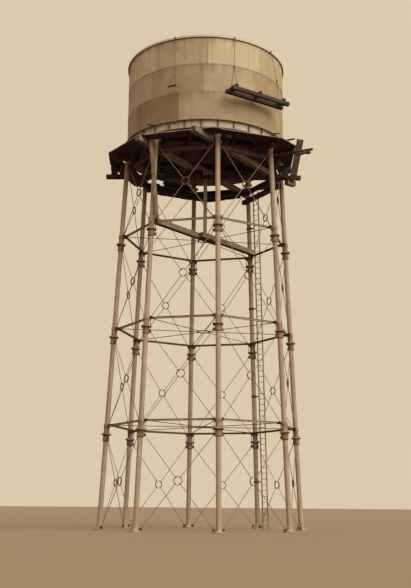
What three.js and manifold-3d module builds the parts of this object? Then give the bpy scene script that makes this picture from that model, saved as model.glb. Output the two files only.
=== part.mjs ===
// Eight-column water tower with an open riveted tank, and the timber staging it was built from.
// Millimetres, +Z up, origin on the tower's axis at ground level, column 1 on the -Y side.
import * as THREE from 'three';
import { mergeVertices } from 'three/addons/utils/BufferGeometryUtils.js';
import Module from 'manifold-3d';

const wasm = await Module();
wasm.setup();

const gap = 0.3;
const weldDistance = 1e-3;
const up = new THREE.Vector3(0, 0, 1);

// Tower
const columnCount = 8;
const sideAngle = (2 * Math.PI) / columnCount;
const baseRadius = 5030;
const columnRake = 0.0461;
const columnRadius = 122;
const columnFacets = 8;
const plateFacets = 12;
const flangeLevels = [4572, 9449, 14326];
const flange = { radius: 240, halfThickness: 32, hub: 150 };
const ear = { root: 150, rootHalf: 110, reach: 290, tipHalf: 32 };
const socket = { radius: 158, below: 270, above: 520, taper: 110 };
const sleeve = { radius: 172, bottom: -370, taper: 60 };
const foot = { radius: 310, thickness: 40, coneRadius: 190, coneTop: 190 };
const cap = { radius: 250, top: 19100, thickness: 40, neck: 170, neckHeight: 120 };

// Bracing
const rodSize = 38;
const ring = { outer: 211, inner: 161, sides: 8 };
const strut = { depth: 100, width: 80, centre: 455, inset: 150 };
const bracket = { far: 262, bottom: 395, top: 505, outer: 50 };
const lug = { far: 262, bottom: -310, top: -190, halfWidth: 32 };
const throughBolt = { reach: 212, size: 34 };
const rodAbove = { reach: 226, height: 475 };
const rodBelow = { reach: 232, height: -285 };
const footLug = { near: 190, far: 300, top: 175, halfWidth: 32 };
const headLug = { far: 240, bottom: 18535, top: 18695, halfWidth: 30 };
const planRing = { radius: 330, tube: 26, steps: 8, tubeSides: 4 };
const planRod = 34;
const headBeam = { bottom: 18420, top: 18700, width: 130 };

// Tank
const tankRadius = 4190;
const plateThickness = 10;
const lapStep = 10;
const tankBottom = 19812;
const courseHeight = 1524;
const courseCount = 3;
const wallSegments = 8;
const arcSteps = 4;
const tankHeight = courseHeight * courseCount;
const rimAngle = { reach: 76, thickness: 14 };
const girder = { bottom: 19370, web: 26, flangeOut: 150, flangeIn: 110, flangeThickness: 26, facets: 32 };
const stiffener = { count: 32, depth: 96, thickness: 22 };
const stool = { width: 300, depth: 330 };
const floorBeam = { spacing: 1150, count: 7, width: 110, depth: 300, ties: 2, tieOffset: 1900 };

// Timber staging. A timber in plan follows a heading, measured from +Y towards +X, from one distance
// along it to another, with its centre line set off to the right of the tower's axis.
const timber = 280;
const plank = 50;
const deck = {
  bottom: 18980,
  inner: 4460,
  corners: [
    [-80, 5300],
    [-47, 5250],
    [-5, 5150],
    [36, 5450],
    [49, 5440],
    [80, 4620],
    [92, 4800],
    [125, 5200],
    [170, 5200],
    [222, 5250],
    [262, 5100],
  ],
};
const skirt = { corner: 8, before: 0.54, after: 0.69, bottom: 18640 };
const openBay = [[144, 3900], [177, 3900], [177, 4830], [170, 5060], [144, 4690]];
const boardPile = { heading: -106, offset: 4500, from: -1450, to: 630, depth: 300, top: 19430 };
const needles = {
  needle_left_near: { heading: 41, offset: -600, from: -5300, to: 800 },
  needle_left_far: { heading: 41, offset: -310, from: -500, to: 5200 },
  needle_right: { heading: 42.2, offset: 2472, from: -4780, to: 3820 },
};
const walkwayBearer = {
  from: 3900,
  ends: [[-80, 5000], [6, 4700], [36, 4900], [81, 4560], [191, 4650], [214, 4900], [261, 5050]],
};
const lowerBearer = { heading: 99, offset: 0, from: -5290, to: 5130, bottom: 18220 };
const rearLedger = { heading: -22.5, from: -1750, to: 1750, bottom: 17910, size: 240 };
const needleBlock = { heading: 99, offset: 0, from: -1000, to: -100 };
const hangers = {
  hanger_left_outer: [-5010, -4650],
  hanger_left_inner: [-4560, -4230],
  hanger_right: [4100, 4460],
};
const tallPlank = { width: 360, foot: 4680, footHeight: 18150, head: 5130, headHeight: 20460 };
const crossBlock = { heading: 59, offset: 2830, from: 3310, to: 3900 };
const diagonals = {
  diagonal_timber_near: { heading: 48, offset: -95, from: -4100, to: 1160 },
  diagonal_timber_far: { heading: 48, offset: 190, from: -500, to: 4080 },
};
const centrePost = { x: 30, width: 170 };
const leaningPost = { foot: [-2839, -3289], head: [-3220, -3220], width: 170, side: 7.5 };
const longPole = { radius: 85, sides: 8, start: [2785, -2305], end: [4920, -3790] };
const lashedPole = { radius: 70, sides: 8, from: 0.66, to: 0.96 };
const shortPole = { radius: 60, sides: 8, start: [2850, -3490], end: [3890, -4200] };

// Rope work hung from the rim
const rope = 28;
const hook = { inner: 4090, legInner: 55, legOuter: 34, drop: 150, thickness: 26, width: 50 };
const hungStage = {
  heading: 65,
  inner: 4440,
  outer: 4950,
  from: -1720,
  to: 1800,
  bottom: 21040,
  timber: 190,
  crossRise: 320,
  crossHalf: 65,
  crossings: [-1450, 0, 1500],
  crossEnds: [4350, 5040],
  falls: [[11.5, -1450], [44, 1500]],
  knotShare: 0.6,
  knotSize: 60,
};
const chair = {
  hookAngle: -30.2,
  foot: [-2140, -4200],
  height: 21600,
  width: 450,
  depth: 220,
  thickness: 35,
  shift: 170,
};
const ladder = {
  column: 3,
  offset: 340,
  top: 18600,
  width: 330,
  rail: 45,
  railDepth: 72,
  rung: 26,
  pitch: 305,
};
const ladderTie = { heights: [2440, 7020, 11890, 16500], size: 60 };

// Geometry helpers

function at(radius, angle, height) {
  return new THREE.Vector3(radius * Math.sin(angle), -radius * Math.cos(angle), height);
}

function degrees(value) {
  return THREE.MathUtils.degToRad(value);
}

// A closed three.js mesh as a solid that can be joined and cut
function solidOf(geometry) {
  const bare = geometry.index ? geometry.toNonIndexed() : geometry.clone();
  bare.deleteAttribute('normal');
  bare.deleteAttribute('uv');
  const merged = mergeVertices(bare, weldDistance);
  return new wasm.Manifold(new wasm.Mesh({
    numProp: 3,
    vertProperties: new Float32Array(merged.attributes.position.array),
    triVerts: new Uint32Array(merged.index.array),
  }));
}

function joined(solids) {
  return solids.reduce((whole, solid) => whole.add(solid));
}

function geometryOf(solid) {
  const mesh = solid.getMesh();
  const geometry = new THREE.BufferGeometry();
  geometry.setAttribute('position', new THREE.BufferAttribute(mesh.vertProperties, 3));
  geometry.setIndex(new THREE.BufferAttribute(mesh.triVerts, 1));
  geometry.computeVertexNormals();
  return geometry;
}

// A straight bar between two points; its width is measured along the given side direction
function bar(start, end, width, depth, side = up) {
  const along = end.clone().sub(start);
  const length = along.length();
  along.normalize();
  const across = side.clone().addScaledVector(along, -side.dot(along)).normalize();
  const third = new THREE.Vector3().crossVectors(along, across);
  const middle = start.clone().add(end).multiplyScalar(0.5);
  const place = new THREE.Matrix4().makeBasis(across, third, along).setPosition(middle);
  return new THREE.BoxGeometry(width, depth, length).applyMatrix4(place);
}

// A leaning box with level ends, its width turned about the vertical from +X
function leaningBox(foot, head, width, depth, turn) {
  const height = head.z - foot.z;
  const slope = head.clone().sub(foot).divideScalar(height);
  const lean = new THREE.Matrix4().makeBasis(new THREE.Vector3(1, 0, 0), new THREE.Vector3(0, 1, 0), slope);
  const box = new THREE.BoxGeometry(width, depth, height).translate(0, 0, height / 2);
  return box.rotateZ(turn).applyMatrix4(lean.setPosition(foot));
}

// A flat outline given as plan points, raised from one height to another
function slab(outline, bottom, top, hole = null) {
  const shape = new THREE.Shape(outline.map((point) => new THREE.Vector2(point.x, point.y)));
  if (hole) {
    shape.holes.push(new THREE.Path(hole.map((point) => new THREE.Vector2(point.x, point.y))));
  }
  const geometry = new THREE.ExtrudeGeometry(shape, { depth: top - bottom, bevelEnabled: false });
  return geometry.translate(0, 0, bottom);
}

// A turned shape about the Z axis from [radius, height] pairs
function turned(profile, facets) {
  const points = profile.map(([radius, height]) => new THREE.Vector2(radius, height));
  return new THREE.LatheGeometry(points, facets).rotateX(Math.PI / 2);
}

// Columns

const rakeAngle = Math.atan(columnRake);

function columnAxis(index, height) {
  return at(baseRadius - columnRake * height, index * sideAngle, height);
}

// Profile up one column, measured along its own raked axis
function columnProfile() {
  const along = (height) => height / Math.cos(rakeAngle);
  const points = [[0, foot.thickness / 2]];
  points.push([foot.coneRadius, foot.thickness / 2]);
  points.push([foot.coneRadius, foot.thickness]);
  points.push([columnRadius, foot.coneTop]);
  for (const level of flangeLevels) {
    const reach = (radius, offset) => points.push([radius, along(level + offset)]);
    reach(columnRadius, sleeve.bottom);
    reach(sleeve.radius, sleeve.bottom + sleeve.taper);
    reach(sleeve.radius, -flange.halfThickness);
    reach(flange.radius, -flange.halfThickness);
    reach(flange.radius, flange.halfThickness);
    reach(flange.hub, flange.halfThickness);
    reach(flange.hub, socket.below);
    reach(socket.radius, socket.below + socket.taper);
    reach(socket.radius, socket.above);
    reach(columnRadius, socket.above);
  }
  const capBottom = cap.top - cap.thickness;
  points.push([columnRadius, along(capBottom - cap.neckHeight)]);
  points.push([cap.neck, along(capBottom)]);
  points.push([cap.neck, along(capBottom + cap.thickness / 2)]);
  points.push([0, along(capBottom + cap.thickness / 2)]);
  return points;
}

function roundPlate(centre, radius, thickness) {
  const plate = turned([[0, 0], [radius, 0], [radius, thickness], [0, thickness]], plateFacets);
  return solidOf(plate.translate(centre.x, centre.y, centre.z));
}

// The shaft's edges point along its two sides, where the bracing bears on it
function columnSolid() {
  const shaft = turned(columnProfile(), columnFacets);
  shaft.rotateZ(sideAngle / 2).rotateX(-rakeAngle).translate(0, -baseRadius, 0);
  const footPlate = roundPlate(columnAxis(0, 0), foot.radius, foot.thickness);
  const capPlate = roundPlate(columnAxis(0, cap.top - cap.thickness), cap.radius, cap.thickness);
  return joined([solidOf(shaft), footPlate, capPlate]);
}

// A solid turned about the tower's axis by a number of sides
function turnedSolid(solid, sides) {
  return solid.rotate([0, 0, THREE.MathUtils.radToDeg(sides * sideAngle)]);
}

// Bracing of the side between column 0 and column 1

const sideNormal = at(1, sideAngle / 2, 0);
const alongSide = new THREE.Vector3().crossVectors(up, sideNormal).normalize();

// A point beside a column, reach out along the side and set in towards the axis
function beside(end, reach, inward, height) {
  const direction = end === 0 ? 1 : -1;
  return columnAxis(end, height)
    .addScaledVector(alongSide, direction * reach)
    .addScaledVector(sideNormal, -inward);
}

function blockBeside(end, near, far, inner, outer, bottom, top) {
  const middle = (inner + outer) / 2;
  const start = beside(end, (near + far) / 2, middle, bottom);
  const finish = beside(end, (near + far) / 2, middle, top);
  return solidOf(leaningBox(start, finish, far - near, inner - outer, sideAngle / 2));
}

// The lowest lug stands level on the foot plate
function footLugSolid(end) {
  const corner = (reach, inward) => beside(end, reach, inward, foot.thickness);
  const outline = [
    corner(footLug.near, -footLug.halfWidth),
    corner(footLug.far, -footLug.halfWidth),
    corner(footLug.far, footLug.halfWidth),
    corner(footLug.near, footLug.halfWidth),
  ];
  return solidOf(slab(outline, foot.thickness + gap, footLug.top));
}

// Two crossed rods and the ring where they meet, as one flat outline in the plane of the side
function crossedRods(lower, upper) {
  const starts = [0, 1].map((end) => beside(end, lower.reach, 0, lower.height));
  const ends = [0, 1].map((end) => beside(end, upper.reach, 0, upper.height));
  const lowerHalf = starts[0].distanceTo(starts[1]) / 2;
  const upperHalf = ends[0].distanceTo(ends[1]) / 2;
  const lowerMiddle = starts[0].clone().lerp(starts[1], 0.5);
  const upperMiddle = ends[0].clone().lerp(ends[1], 0.5);
  const crossing = lowerMiddle.clone().lerp(upperMiddle, lowerHalf / (lowerHalf + upperHalf));
  const upSide = upperMiddle.clone().sub(lowerMiddle).normalize();
  const facing = new THREE.Vector3().crossVectors(alongSide, upSide);
  const tips = [ends[1], ends[0], starts[0], starts[1]].map((tip) => {
    const offset = tip.clone().sub(crossing);
    return new THREE.Vector2(offset.dot(alongSide), offset.dot(upSide));
  });
  const onRing = (angle) => new THREE.Vector2(Math.cos(angle), Math.sin(angle)).multiplyScalar(ring.outer);
  const outline = [];
  tips.forEach((tip, index) => {
    const angle = tip.angle();
    const half = Math.asin(rodSize / 2 / ring.outer);
    const edge = new THREE.Vector2(-Math.sin(angle), Math.cos(angle)).multiplyScalar(rodSize / 2);
    const wrapped = index === tips.length - 1 ? 2 * Math.PI : 0;
    const nextAngle = tips[(index + 1) % tips.length].angle() + wrapped;
    outline.push(onRing(angle - half), tip.clone().sub(edge), tip.clone().add(edge), onRing(angle + half));
    outline.push(onRing((angle + nextAngle) / 2));
  });
  const shape = new THREE.Shape(outline);
  const eye = Array.from({ length: ring.sides }, (_, index) => {
    const angle = (-index * 2 * Math.PI) / ring.sides;
    return new THREE.Vector2(Math.cos(angle), Math.sin(angle)).multiplyScalar(ring.inner);
  });
  shape.holes.push(new THREE.Path(eye));
  const flat = new THREE.ExtrudeGeometry(shape, { depth: rodSize, bevelEnabled: false });
  flat.translate(0, 0, -rodSize / 2);
  flat.applyMatrix4(new THREE.Matrix4().makeBasis(alongSide, upSide, facing).setPosition(crossing));
  return solidOf(flat);
}

// The struts lie on the inner side of the columns, inset from the column axes, and are mitred there
const strutBand = strut.width / Math.cos(sideAngle / 2);

function strutCorner(height) {
  return baseRadius - columnRake * height - strut.inset;
}

function strutSolid(level) {
  const height = level + strut.centre;
  const outer = strutCorner(height);
  const inner = outer - strutBand;
  const trim = gap / 2 / outer;
  const outline = [
    at(inner, trim, 0),
    at(outer, trim, 0),
    at(outer, sideAngle - trim, 0),
    at(inner, sideAngle - trim, 0),
  ];
  return solidOf(slab(outline, height - strut.depth / 2, height + strut.depth / 2));
}

function jointPieces(level) {
  const pieces = [strutSolid(level)];
  for (const end of [0, 1]) {
    pieces.push(blockBeside(end, socket.radius + gap, bracket.far, socket.radius + strut.width / 2,
      -bracket.outer, level + bracket.bottom, level + bracket.top));
    pieces.push(blockBeside(end, sleeve.radius + gap, lug.far, lug.halfWidth, -lug.halfWidth,
      level + lug.bottom, level + lug.top));
  }
  return pieces;
}

// Bolts that hold the bracket above a flange and the rod lug below it
function throughBolts(level, size) {
  return [0, 1].map((end) => {
    const start = beside(end, throughBolt.reach, 0, level + lug.top - throughBolt.size);
    const finish = beside(end, throughBolt.reach, 0, level + bracket.bottom + throughBolt.size);
    return solidOf(bar(start, finish, size, size, alongSide));
  });
}

function bracingSide() {
  const pieces = [];
  for (const end of [0, 1]) {
    pieces.push(footLugSolid(end));
    pieces.push(blockBeside(end, columnRadius + gap, headLug.far, headLug.halfWidth, -headLug.halfWidth,
      headLug.bottom, headLug.top));
  }
  let lower = { reach: rodAbove.reach, height: footLug.top - footLug.halfWidth };
  for (const level of flangeLevels) {
    pieces.push(crossedRods(lower, { reach: rodBelow.reach, height: level + rodBelow.height }));
    pieces.push(...jointPieces(level));
    lower = { reach: rodAbove.reach, height: level + rodAbove.height };
  }
  pieces.push(crossedRods(lower, { reach: rodBelow.reach, height: headLug.bottom + headLug.halfWidth }));
  const bolts = flangeLevels.flatMap((level) => throughBolts(level, throughBolt.size));
  return joined([...pieces, ...bolts]);
}

// A pointed ear on the flange towards each neighbouring column, where a through bolt passes
function flangeEar(end, level) {
  const corner = (reach, inward) => beside(end, reach, inward, level);
  const outline = [
    corner(ear.root, -ear.rootHalf),
    corner(ear.reach, -ear.tipHalf),
    corner(ear.reach, ear.tipHalf),
    corner(ear.root, ear.rootHalf),
  ];
  const ordered = end === 0 ? outline : outline.reverse();
  return solidOf(slab(ordered, level - flange.halfThickness, level + flange.halfThickness));
}

function column() {
  const ears = flangeLevels.flatMap((level) => [flangeEar(0, level), turnedSolid(flangeEar(1, level), -1)]);
  const notches = flangeLevels.flatMap((level) => throughBolts(level, throughBolt.size + 2 * gap));
  const notch = joined(notches);
  return joined([columnSolid(), ...ears]).subtract(notch).subtract(turnedSolid(notch, -1));
}

// Radial rods from the strut corners to a ring on the tower's axis
function planBracing(level) {
  const height = level + strut.centre;
  const inner = strutCorner(height) - strutBand;
  const reach = inner - (planRod / 2) * Math.tan(sideAngle / 2) - gap;
  const loop = new THREE.TorusGeometry(planRing.radius, planRing.tube, planRing.tubeSides, planRing.steps);
  loop.translate(0, 0, height);
  const rods = Array.from({ length: columnCount }, (_, index) => {
    const angle = index * sideAngle;
    return solidOf(bar(at(planRing.radius, angle, height), at(reach, angle, height), planRod, planRod));
  });
  return joined([solidOf(loop), ...rods]);
}

function octagon(cornerRadius) {
  return Array.from({ length: columnCount }, (_, index) => at(cornerRadius, index * sideAngle, 0));
}

function headRingBeam() {
  const outer = baseRadius - columnRake * headBeam.top - columnRadius - gap;
  const inner = outer - headBeam.width / Math.cos(sideAngle / 2);
  return slab(octagon(outer), headBeam.bottom, headBeam.top, octagon(inner).reverse());
}

// Tank

// An arc of the tank's wall with the courses lapped in and out, a foot and a rim angle
function tankWall() {
  const inner = tankRadius - plateThickness - lapStep;
  const profile = [[inner, tankBottom + plateThickness + gap]];
  for (let course = 0; course < courseCount; course += 1) {
    const outer = tankRadius - (course % 2 === 0 ? 0 : lapStep);
    const bottom = tankBottom + plateThickness + gap + course * courseHeight;
    const top = tankBottom + (course + 1) * courseHeight;
    profile.push([outer, course === 0 ? bottom : tankBottom + course * courseHeight]);
    profile.push([outer, course === courseCount - 1 ? top - rimAngle.thickness : top]);
  }
  const rim = tankBottom + tankHeight;
  profile.push([tankRadius + rimAngle.reach, rim - rimAngle.thickness]);
  profile.push([tankRadius + rimAngle.reach, rim]);
  profile.push([inner, rim]);
  profile.push(profile[0]);
  const trim = gap / 2 / tankRadius;
  const sweep = (2 * Math.PI) / wallSegments - 2 * trim;
  return arcSolid(profile, trim, sweep, arcSteps);
}

// A closed profile swept part of the way round the axis, with its two ends closed
function arcSolid(profile, start, sweep, steps) {
  const positions = [];
  const ringSize = profile.length - 1;
  for (let step = 0; step <= steps; step += 1) {
    const angle = start + (sweep * step) / steps;
    for (let corner = 0; corner < ringSize; corner += 1) {
      const [radius, height] = profile[corner];
      positions.push(...at(radius, angle, height).toArray());
    }
  }
  const faces = [];
  for (let step = 0; step < steps; step += 1) {
    for (let corner = 0; corner < ringSize; corner += 1) {
      const next = (corner + 1) % ringSize;
      const a = step * ringSize + corner;
      const b = step * ringSize + next;
      faces.push(a, a + ringSize, b + ringSize, a, b + ringSize, b);
    }
  }
  const outline = profile.slice(0, ringSize).map(([radius, height]) => new THREE.Vector2(radius, height));
  for (const [a, b, c] of THREE.ShapeUtils.triangulateShape(outline, [])) {
    const last = steps * ringSize;
    faces.push(a, b, c, last + a, last + c, last + b);
  }
  const geometry = new THREE.BufferGeometry();
  geometry.setAttribute('position', new THREE.Float32BufferAttribute(positions, 3));
  geometry.setIndex(faces);
  geometry.computeVertexNormals();
  return geometry;
}

function tankFloor() {
  const radius = tankRadius + rimAngle.reach;
  return turned([
    [0, tankBottom],
    [radius, tankBottom],
    [radius, tankBottom + plateThickness],
    [0, tankBottom + plateThickness],
  ], wallSegments * arcSteps);
}

function girderWebInner() {
  return tankRadius - girder.web;
}

// Round plate girder with outside stiffeners and a stool over each column cap
function tankRingGirder() {
  const top = tankBottom - gap;
  const inner = girderWebInner();
  const profile = [
    [inner, girder.bottom + girder.flangeThickness],
    [inner - girder.flangeIn, girder.bottom + girder.flangeThickness],
    [inner - girder.flangeIn, girder.bottom],
    [tankRadius + girder.flangeIn, girder.bottom],
    [tankRadius + girder.flangeIn, girder.bottom + girder.flangeThickness],
    [tankRadius, girder.bottom + girder.flangeThickness],
    [tankRadius, top - girder.flangeThickness],
    [tankRadius + girder.flangeOut, top - girder.flangeThickness],
    [tankRadius + girder.flangeOut, top],
    [inner, top],
  ];
  const pieces = [solidOf(turned([...profile, profile[0]], girder.facets))];
  for (let index = 0; index < stiffener.count; index += 1) {
    const angle = index * ((2 * Math.PI) / stiffener.count);
    const radius = tankRadius + stiffener.depth / 2 - girder.web / 2;
    pieces.push(solidOf(bar(
      at(radius, angle, girder.bottom + girder.flangeThickness / 2),
      at(radius, angle, top - girder.flangeThickness / 2),
      stiffener.thickness,
      stiffener.depth,
      at(1, angle + Math.PI / 2, 0),
    )));
  }
  for (let index = 0; index < columnCount; index += 1) {
    const angle = index * sideAngle;
    pieces.push(solidOf(bar(
      at(tankRadius, angle, cap.top + gap),
      at(tankRadius, angle, girder.bottom + girder.flangeThickness / 2),
      stool.width,
      stool.depth,
      at(1, angle + Math.PI / 2, 0),
    )));
  }
  return geometryOf(joined(pieces));
}

// Parallel floor beams tied by two cross beams, cut to the inside of the ring girder
function tankFloorBeams() {
  const top = tankBottom - gap;
  const middle = top - floorBeam.depth / 2;
  const clear = (girderWebInner() - gap) * Math.cos(Math.PI / girder.facets);
  const halfChord = (offset) => Math.sqrt(clear ** 2 - (Math.abs(offset) + floorBeam.width / 2) ** 2);
  const pieces = [];
  for (let index = 0; index < floorBeam.count; index += 1) {
    const x = (index - (floorBeam.count - 1) / 2) * floorBeam.spacing;
    const reach = halfChord(x);
    pieces.push(solidOf(bar(
      new THREE.Vector3(x, -reach, middle),
      new THREE.Vector3(x, reach, middle),
      floorBeam.depth,
      floorBeam.width,
    )));
  }
  for (let index = 0; index < floorBeam.ties; index += 1) {
    const y = (index - (floorBeam.ties - 1) / 2) * 2 * floorBeam.tieOffset;
    const reach = halfChord(y);
    pieces.push(solidOf(bar(
      new THREE.Vector3(-reach, y, middle),
      new THREE.Vector3(reach, y, middle),
      floorBeam.depth,
      floorBeam.width,
    )));
  }
  return geometryOf(joined(pieces));
}

// Timber staging

// The deck, with a bay left open, and a skirt of boards hung under its far edge and a pile of them on it
function walkwayDeck() {
  const outline = deck.corners.map(([angle, radius]) => at(radius, degrees(angle), 0));
  const boards = slab(outline, deck.bottom, deck.bottom + plank, octagon(deck.inner).reverse());
  const corner = outline[skirt.corner];
  const start = corner.clone().lerp(outline[skirt.corner - 1], skirt.before);
  const finish = corner.clone().lerp(outline[skirt.corner + 1], skirt.after);
  const line = [start, corner, finish];
  const inner = line.map((point) => point.clone().multiplyScalar(1 - plank / corner.length()));
  const strip = [...line, ...inner.reverse()];
  const hung = slab(strip, skirt.bottom, deck.bottom + plank / 2);
  const corners = openBay.map(([angle, radius]) => at(radius, degrees(angle), 0));
  const bay = slab(corners, deck.bottom - plank, deck.bottom + 2 * plank);
  const [near, far] = [boardPile.offset - boardPile.depth / 2, boardPile.offset + boardPile.depth / 2];
  const pile = levelPiece(
    boardPile,
    boardPile.from,
    boardPile.to,
    near,
    far,
    deck.bottom + plank / 2,
    boardPile.top,
  );
  return geometryOf(joined([solidOf(boards).subtract(solidOf(bay)), solidOf(hung), solidOf(pile)]));
}

// A plan point on a staging line
function onLine(line, along, aside) {
  const heading = degrees(line.heading);
  const x = along * Math.sin(heading) + aside * Math.cos(heading);
  const y = along * Math.cos(heading) - aside * Math.sin(heading);
  return new THREE.Vector3(x, y, 0);
}

// A level piece along a staging line, between two distances to the line's right
function levelPiece(line, from, to, left, right, bottom, top) {
  const corners = [[from, left], [to, left], [to, right], [from, right]];
  return slab(corners.map(([along, aside]) => onLine(line, along, aside)), bottom, top);
}

function levelTimber(line, bottom, top) {
  const [left, right] = [line.offset - timber / 2, line.offset + timber / 2];
  return levelPiece(line, line.from, line.to, left, right, bottom, top);
}

// Needles and walkway bearers lie on the head ring beam and carry the deck
function deckTimber(line) {
  return levelTimber(line, headBeam.top + gap, deck.bottom - gap);
}

// Timber lashed level to the inner faces of columns 3 and 4
function ledgerTimber() {
  const top = rearLedger.bottom + rearLedger.size;
  const line = (baseRadius - columnRake * top) * Math.cos(sideAngle / 2);
  const face = line - columnRadius / Math.cos(rakeAngle) - gap;
  return levelPiece(rearLedger, rearLedger.from, rearLedger.to, face - rearLedger.size, face,
    rearLedger.bottom, top);
}

// Boards nailed to the front face of the lower bearer, up to the deck
function hangerBoard([from, to]) {
  const face = timber / 2 + gap;
  return levelPiece(lowerBearer, from, to, face, face + plank, lowerBearer.bottom, deck.bottom - gap);
}

// Wide plank nailed to the same face, leaning out past the deck
function leaningPlank() {
  const face = timber / 2 + gap + plank / 2;
  const start = onLine(lowerBearer, tallPlank.foot, face).setZ(tallPlank.footHeight);
  const end = onLine(lowerBearer, tallPlank.head, face).setZ(tallPlank.headHeight);
  return bar(start, end, tallPlank.width, plank, onLine(lowerBearer, 1, 0));
}

const diagonalBottom = flangeLevels[2] + bracket.top + gap;
const diagonalTop = diagonalBottom + timber;

// Props the lower bearer from the two diagonal timbers
function centreProp() {
  const foot = new THREE.Vector3(centrePost.x, 0, diagonalTop + gap);
  const head = new THREE.Vector3(centrePost.x, 0, lowerBearer.bottom - gap);
  return leaningBox(foot, head, centrePost.width, centrePost.width, 0);
}

// Stands on a strut bracket and leans across the front of column 8 to the deck
function deckProp() {
  const foot = new THREE.Vector3(...leaningPost.foot, diagonalBottom);
  const head = new THREE.Vector3(...leaningPost.head, deck.bottom - gap);
  return leaningBox(foot, head, leaningPost.width, leaningPost.width, leaningPost.side * sideAngle);
}

// A round pole lying level on a surface
function pole(shape, rest) {
  const height = rest + gap + shape.radius * Math.cos(Math.PI / shape.sides);
  const start = new THREE.Vector3(...shape.start, height);
  const end = new THREE.Vector3(...shape.end, height);
  const length = start.distanceTo(end);
  const across = end.clone().sub(start).normalize();
  const level = new THREE.Vector3().crossVectors(up, across);
  const lay = new THREE.Matrix4().makeBasis(level, across, new THREE.Vector3().crossVectors(level, across));
  const round = new THREE.CylinderGeometry(shape.radius, shape.radius, length, shape.sides, 1);
  return round.rotateY(Math.PI / shape.sides).applyMatrix4(lay.setPosition(start.lerp(end, 0.5)));
}

// A second pole lashed under the outer part of the long one
function poleUnderLong() {
  const [start, end] = [longPole.start, longPole.end].map((point) => new THREE.Vector2(...point));
  const shares = [lashedPole.from, lashedPole.to];
  const [near, far] = shares.map((share) => start.clone().lerp(end, share).toArray());
  const apothem = lashedPole.radius * Math.cos(Math.PI / lashedPole.sides);
  return pole({ ...lashedPole, start: near, end: far }, headBeam.top - 2 * apothem - gap);
}

// Rope work hung from the rim

const rimTop = tankBottom + tankHeight;
const hookOuter = tankRadius + rimAngle.reach + gap;

// An iron hook over the rim, with its rope's end inside its outer leg
function rimHook(angle) {
  const bottom = rimTop - hook.drop;
  const top = rimTop + gap + hook.thickness;
  const sideways = at(1, angle + Math.PI / 2, 0);
  const leg = (radius, thickness, from) => solidOf(
    bar(at(radius, angle, from), at(radius, angle, top), hook.width, thickness, sideways),
  );
  const span = (hook.inner + hookOuter + hook.legOuter) / 2;
  return [
    leg(hook.inner + hook.legInner / 2, hook.legInner, bottom),
    leg(hookOuter + hook.legOuter / 2, hook.legOuter, bottom),
    leg(span, hookOuter + hook.legOuter - hook.inner, rimTop + gap),
  ];
}

function ropeEnd(angle) {
  return at(hookOuter + hook.legOuter / 2, angle, rimTop - hook.drop / 2);
}

function ropeBar(start, end) {
  return solidOf(bar(start, end, rope, rope, at(1, 0, 0)));
}

// Two long timbers on cross pieces, slung by bridles from the rim
function hangingStage() {
  const half = hungStage.timber / 2;
  const pieces = [hungStage.inner, hungStage.outer].map((aside) => solidOf(levelPiece(
    hungStage,
    hungStage.from,
    hungStage.to,
    aside - half,
    aside + half,
    hungStage.bottom,
    hungStage.bottom + hungStage.timber,
  )));
  const crossTop = hungStage.bottom + hungStage.crossRise;
  const [near, far] = hungStage.crossEnds;
  for (const along of hungStage.crossings) {
    const [left, right] = [along - hungStage.crossHalf, along + hungStage.crossHalf];
    pieces.push(solidOf(levelPiece(hungStage, left, right, near, far, hungStage.bottom + half, crossTop)));
  }
  const middle = (hungStage.inner + hungStage.outer) / 2;
  for (const [hookDegrees, along] of hungStage.falls) {
    const angle = degrees(hookDegrees);
    const knot = ropeEnd(angle).lerp(onLine(hungStage, along, middle).setZ(crossTop), hungStage.knotShare);
    const tied = new THREE.BoxGeometry(hungStage.knotSize, hungStage.knotSize, hungStage.knotSize);
    pieces.push(solidOf(tied.translate(knot.x, knot.y, knot.z)));
    pieces.push(...rimHook(angle), ropeBar(ropeEnd(angle), knot));
    for (const aside of [hungStage.inner, hungStage.outer]) {
      pieces.push(ropeBar(knot, onLine(hungStage, along, aside).setZ(crossTop - half)));
    }
  }
  return geometryOf(joined(pieces));
}

// A rope from the rim to the deck with a small seat board on it
function ropeChair() {
  const angle = degrees(chair.hookAngle);
  const start = ropeEnd(angle);
  const foot = new THREE.Vector3(...chair.foot, deck.bottom + plank + gap + rope);
  const through = start.clone().lerp(foot, (start.z - chair.height) / (start.z - foot.z));
  const seat = new THREE.BoxGeometry(chair.width, chair.depth, chair.thickness);
  seat.rotateZ(angle).translate(through.x, through.y, through.z);
  seat.translate(-chair.shift * Math.cos(angle), -chair.shift * Math.sin(angle), 0);
  return geometryOf(joined([...rimHook(angle), ropeBar(start, foot), solidOf(seat)]));
}

// Ladder that stands on the ground and leans with the column it is tied to
function ladderFrame() {
  const angle = ladder.column * sideAngle;
  const sideways = at(1, angle - Math.PI / 2, 0);
  const railPoint = (shift, height) => columnAxis(ladder.column, height).addScaledVector(sideways, shift);
  const rails = [ladder.offset, ladder.offset + ladder.width];
  const pieces = rails.map((shift) => solidOf(leaningBox(
    railPoint(shift, 0),
    railPoint(shift, ladder.top),
    ladder.rail,
    ladder.railDepth,
    angle - Math.PI,
  )));
  const rungCount = Math.floor(ladder.top / ladder.pitch);
  for (let index = 0; index < rungCount; index += 1) {
    const height = (index + 0.5) * ladder.pitch;
    const [start, end] = rails.map((shift) => railPoint(shift, height));
    pieces.push(solidOf(bar(start, end, ladder.rung, ladder.rung)));
  }
  const columnFace = columnRadius * Math.cos(Math.PI / columnFacets) + gap;
  for (const height of ladderTie.heights) {
    const start = railPoint(columnFace, height);
    pieces.push(solidOf(bar(start, railPoint(ladder.offset, height), ladderTie.size, ladderTie.size)));
  }
  return geometryOf(joined(pieces));
}

// Materials

function finish(color, roughness, metalness) {
  return new THREE.MeshStandardMaterial({ color, roughness, metalness });
}

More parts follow.
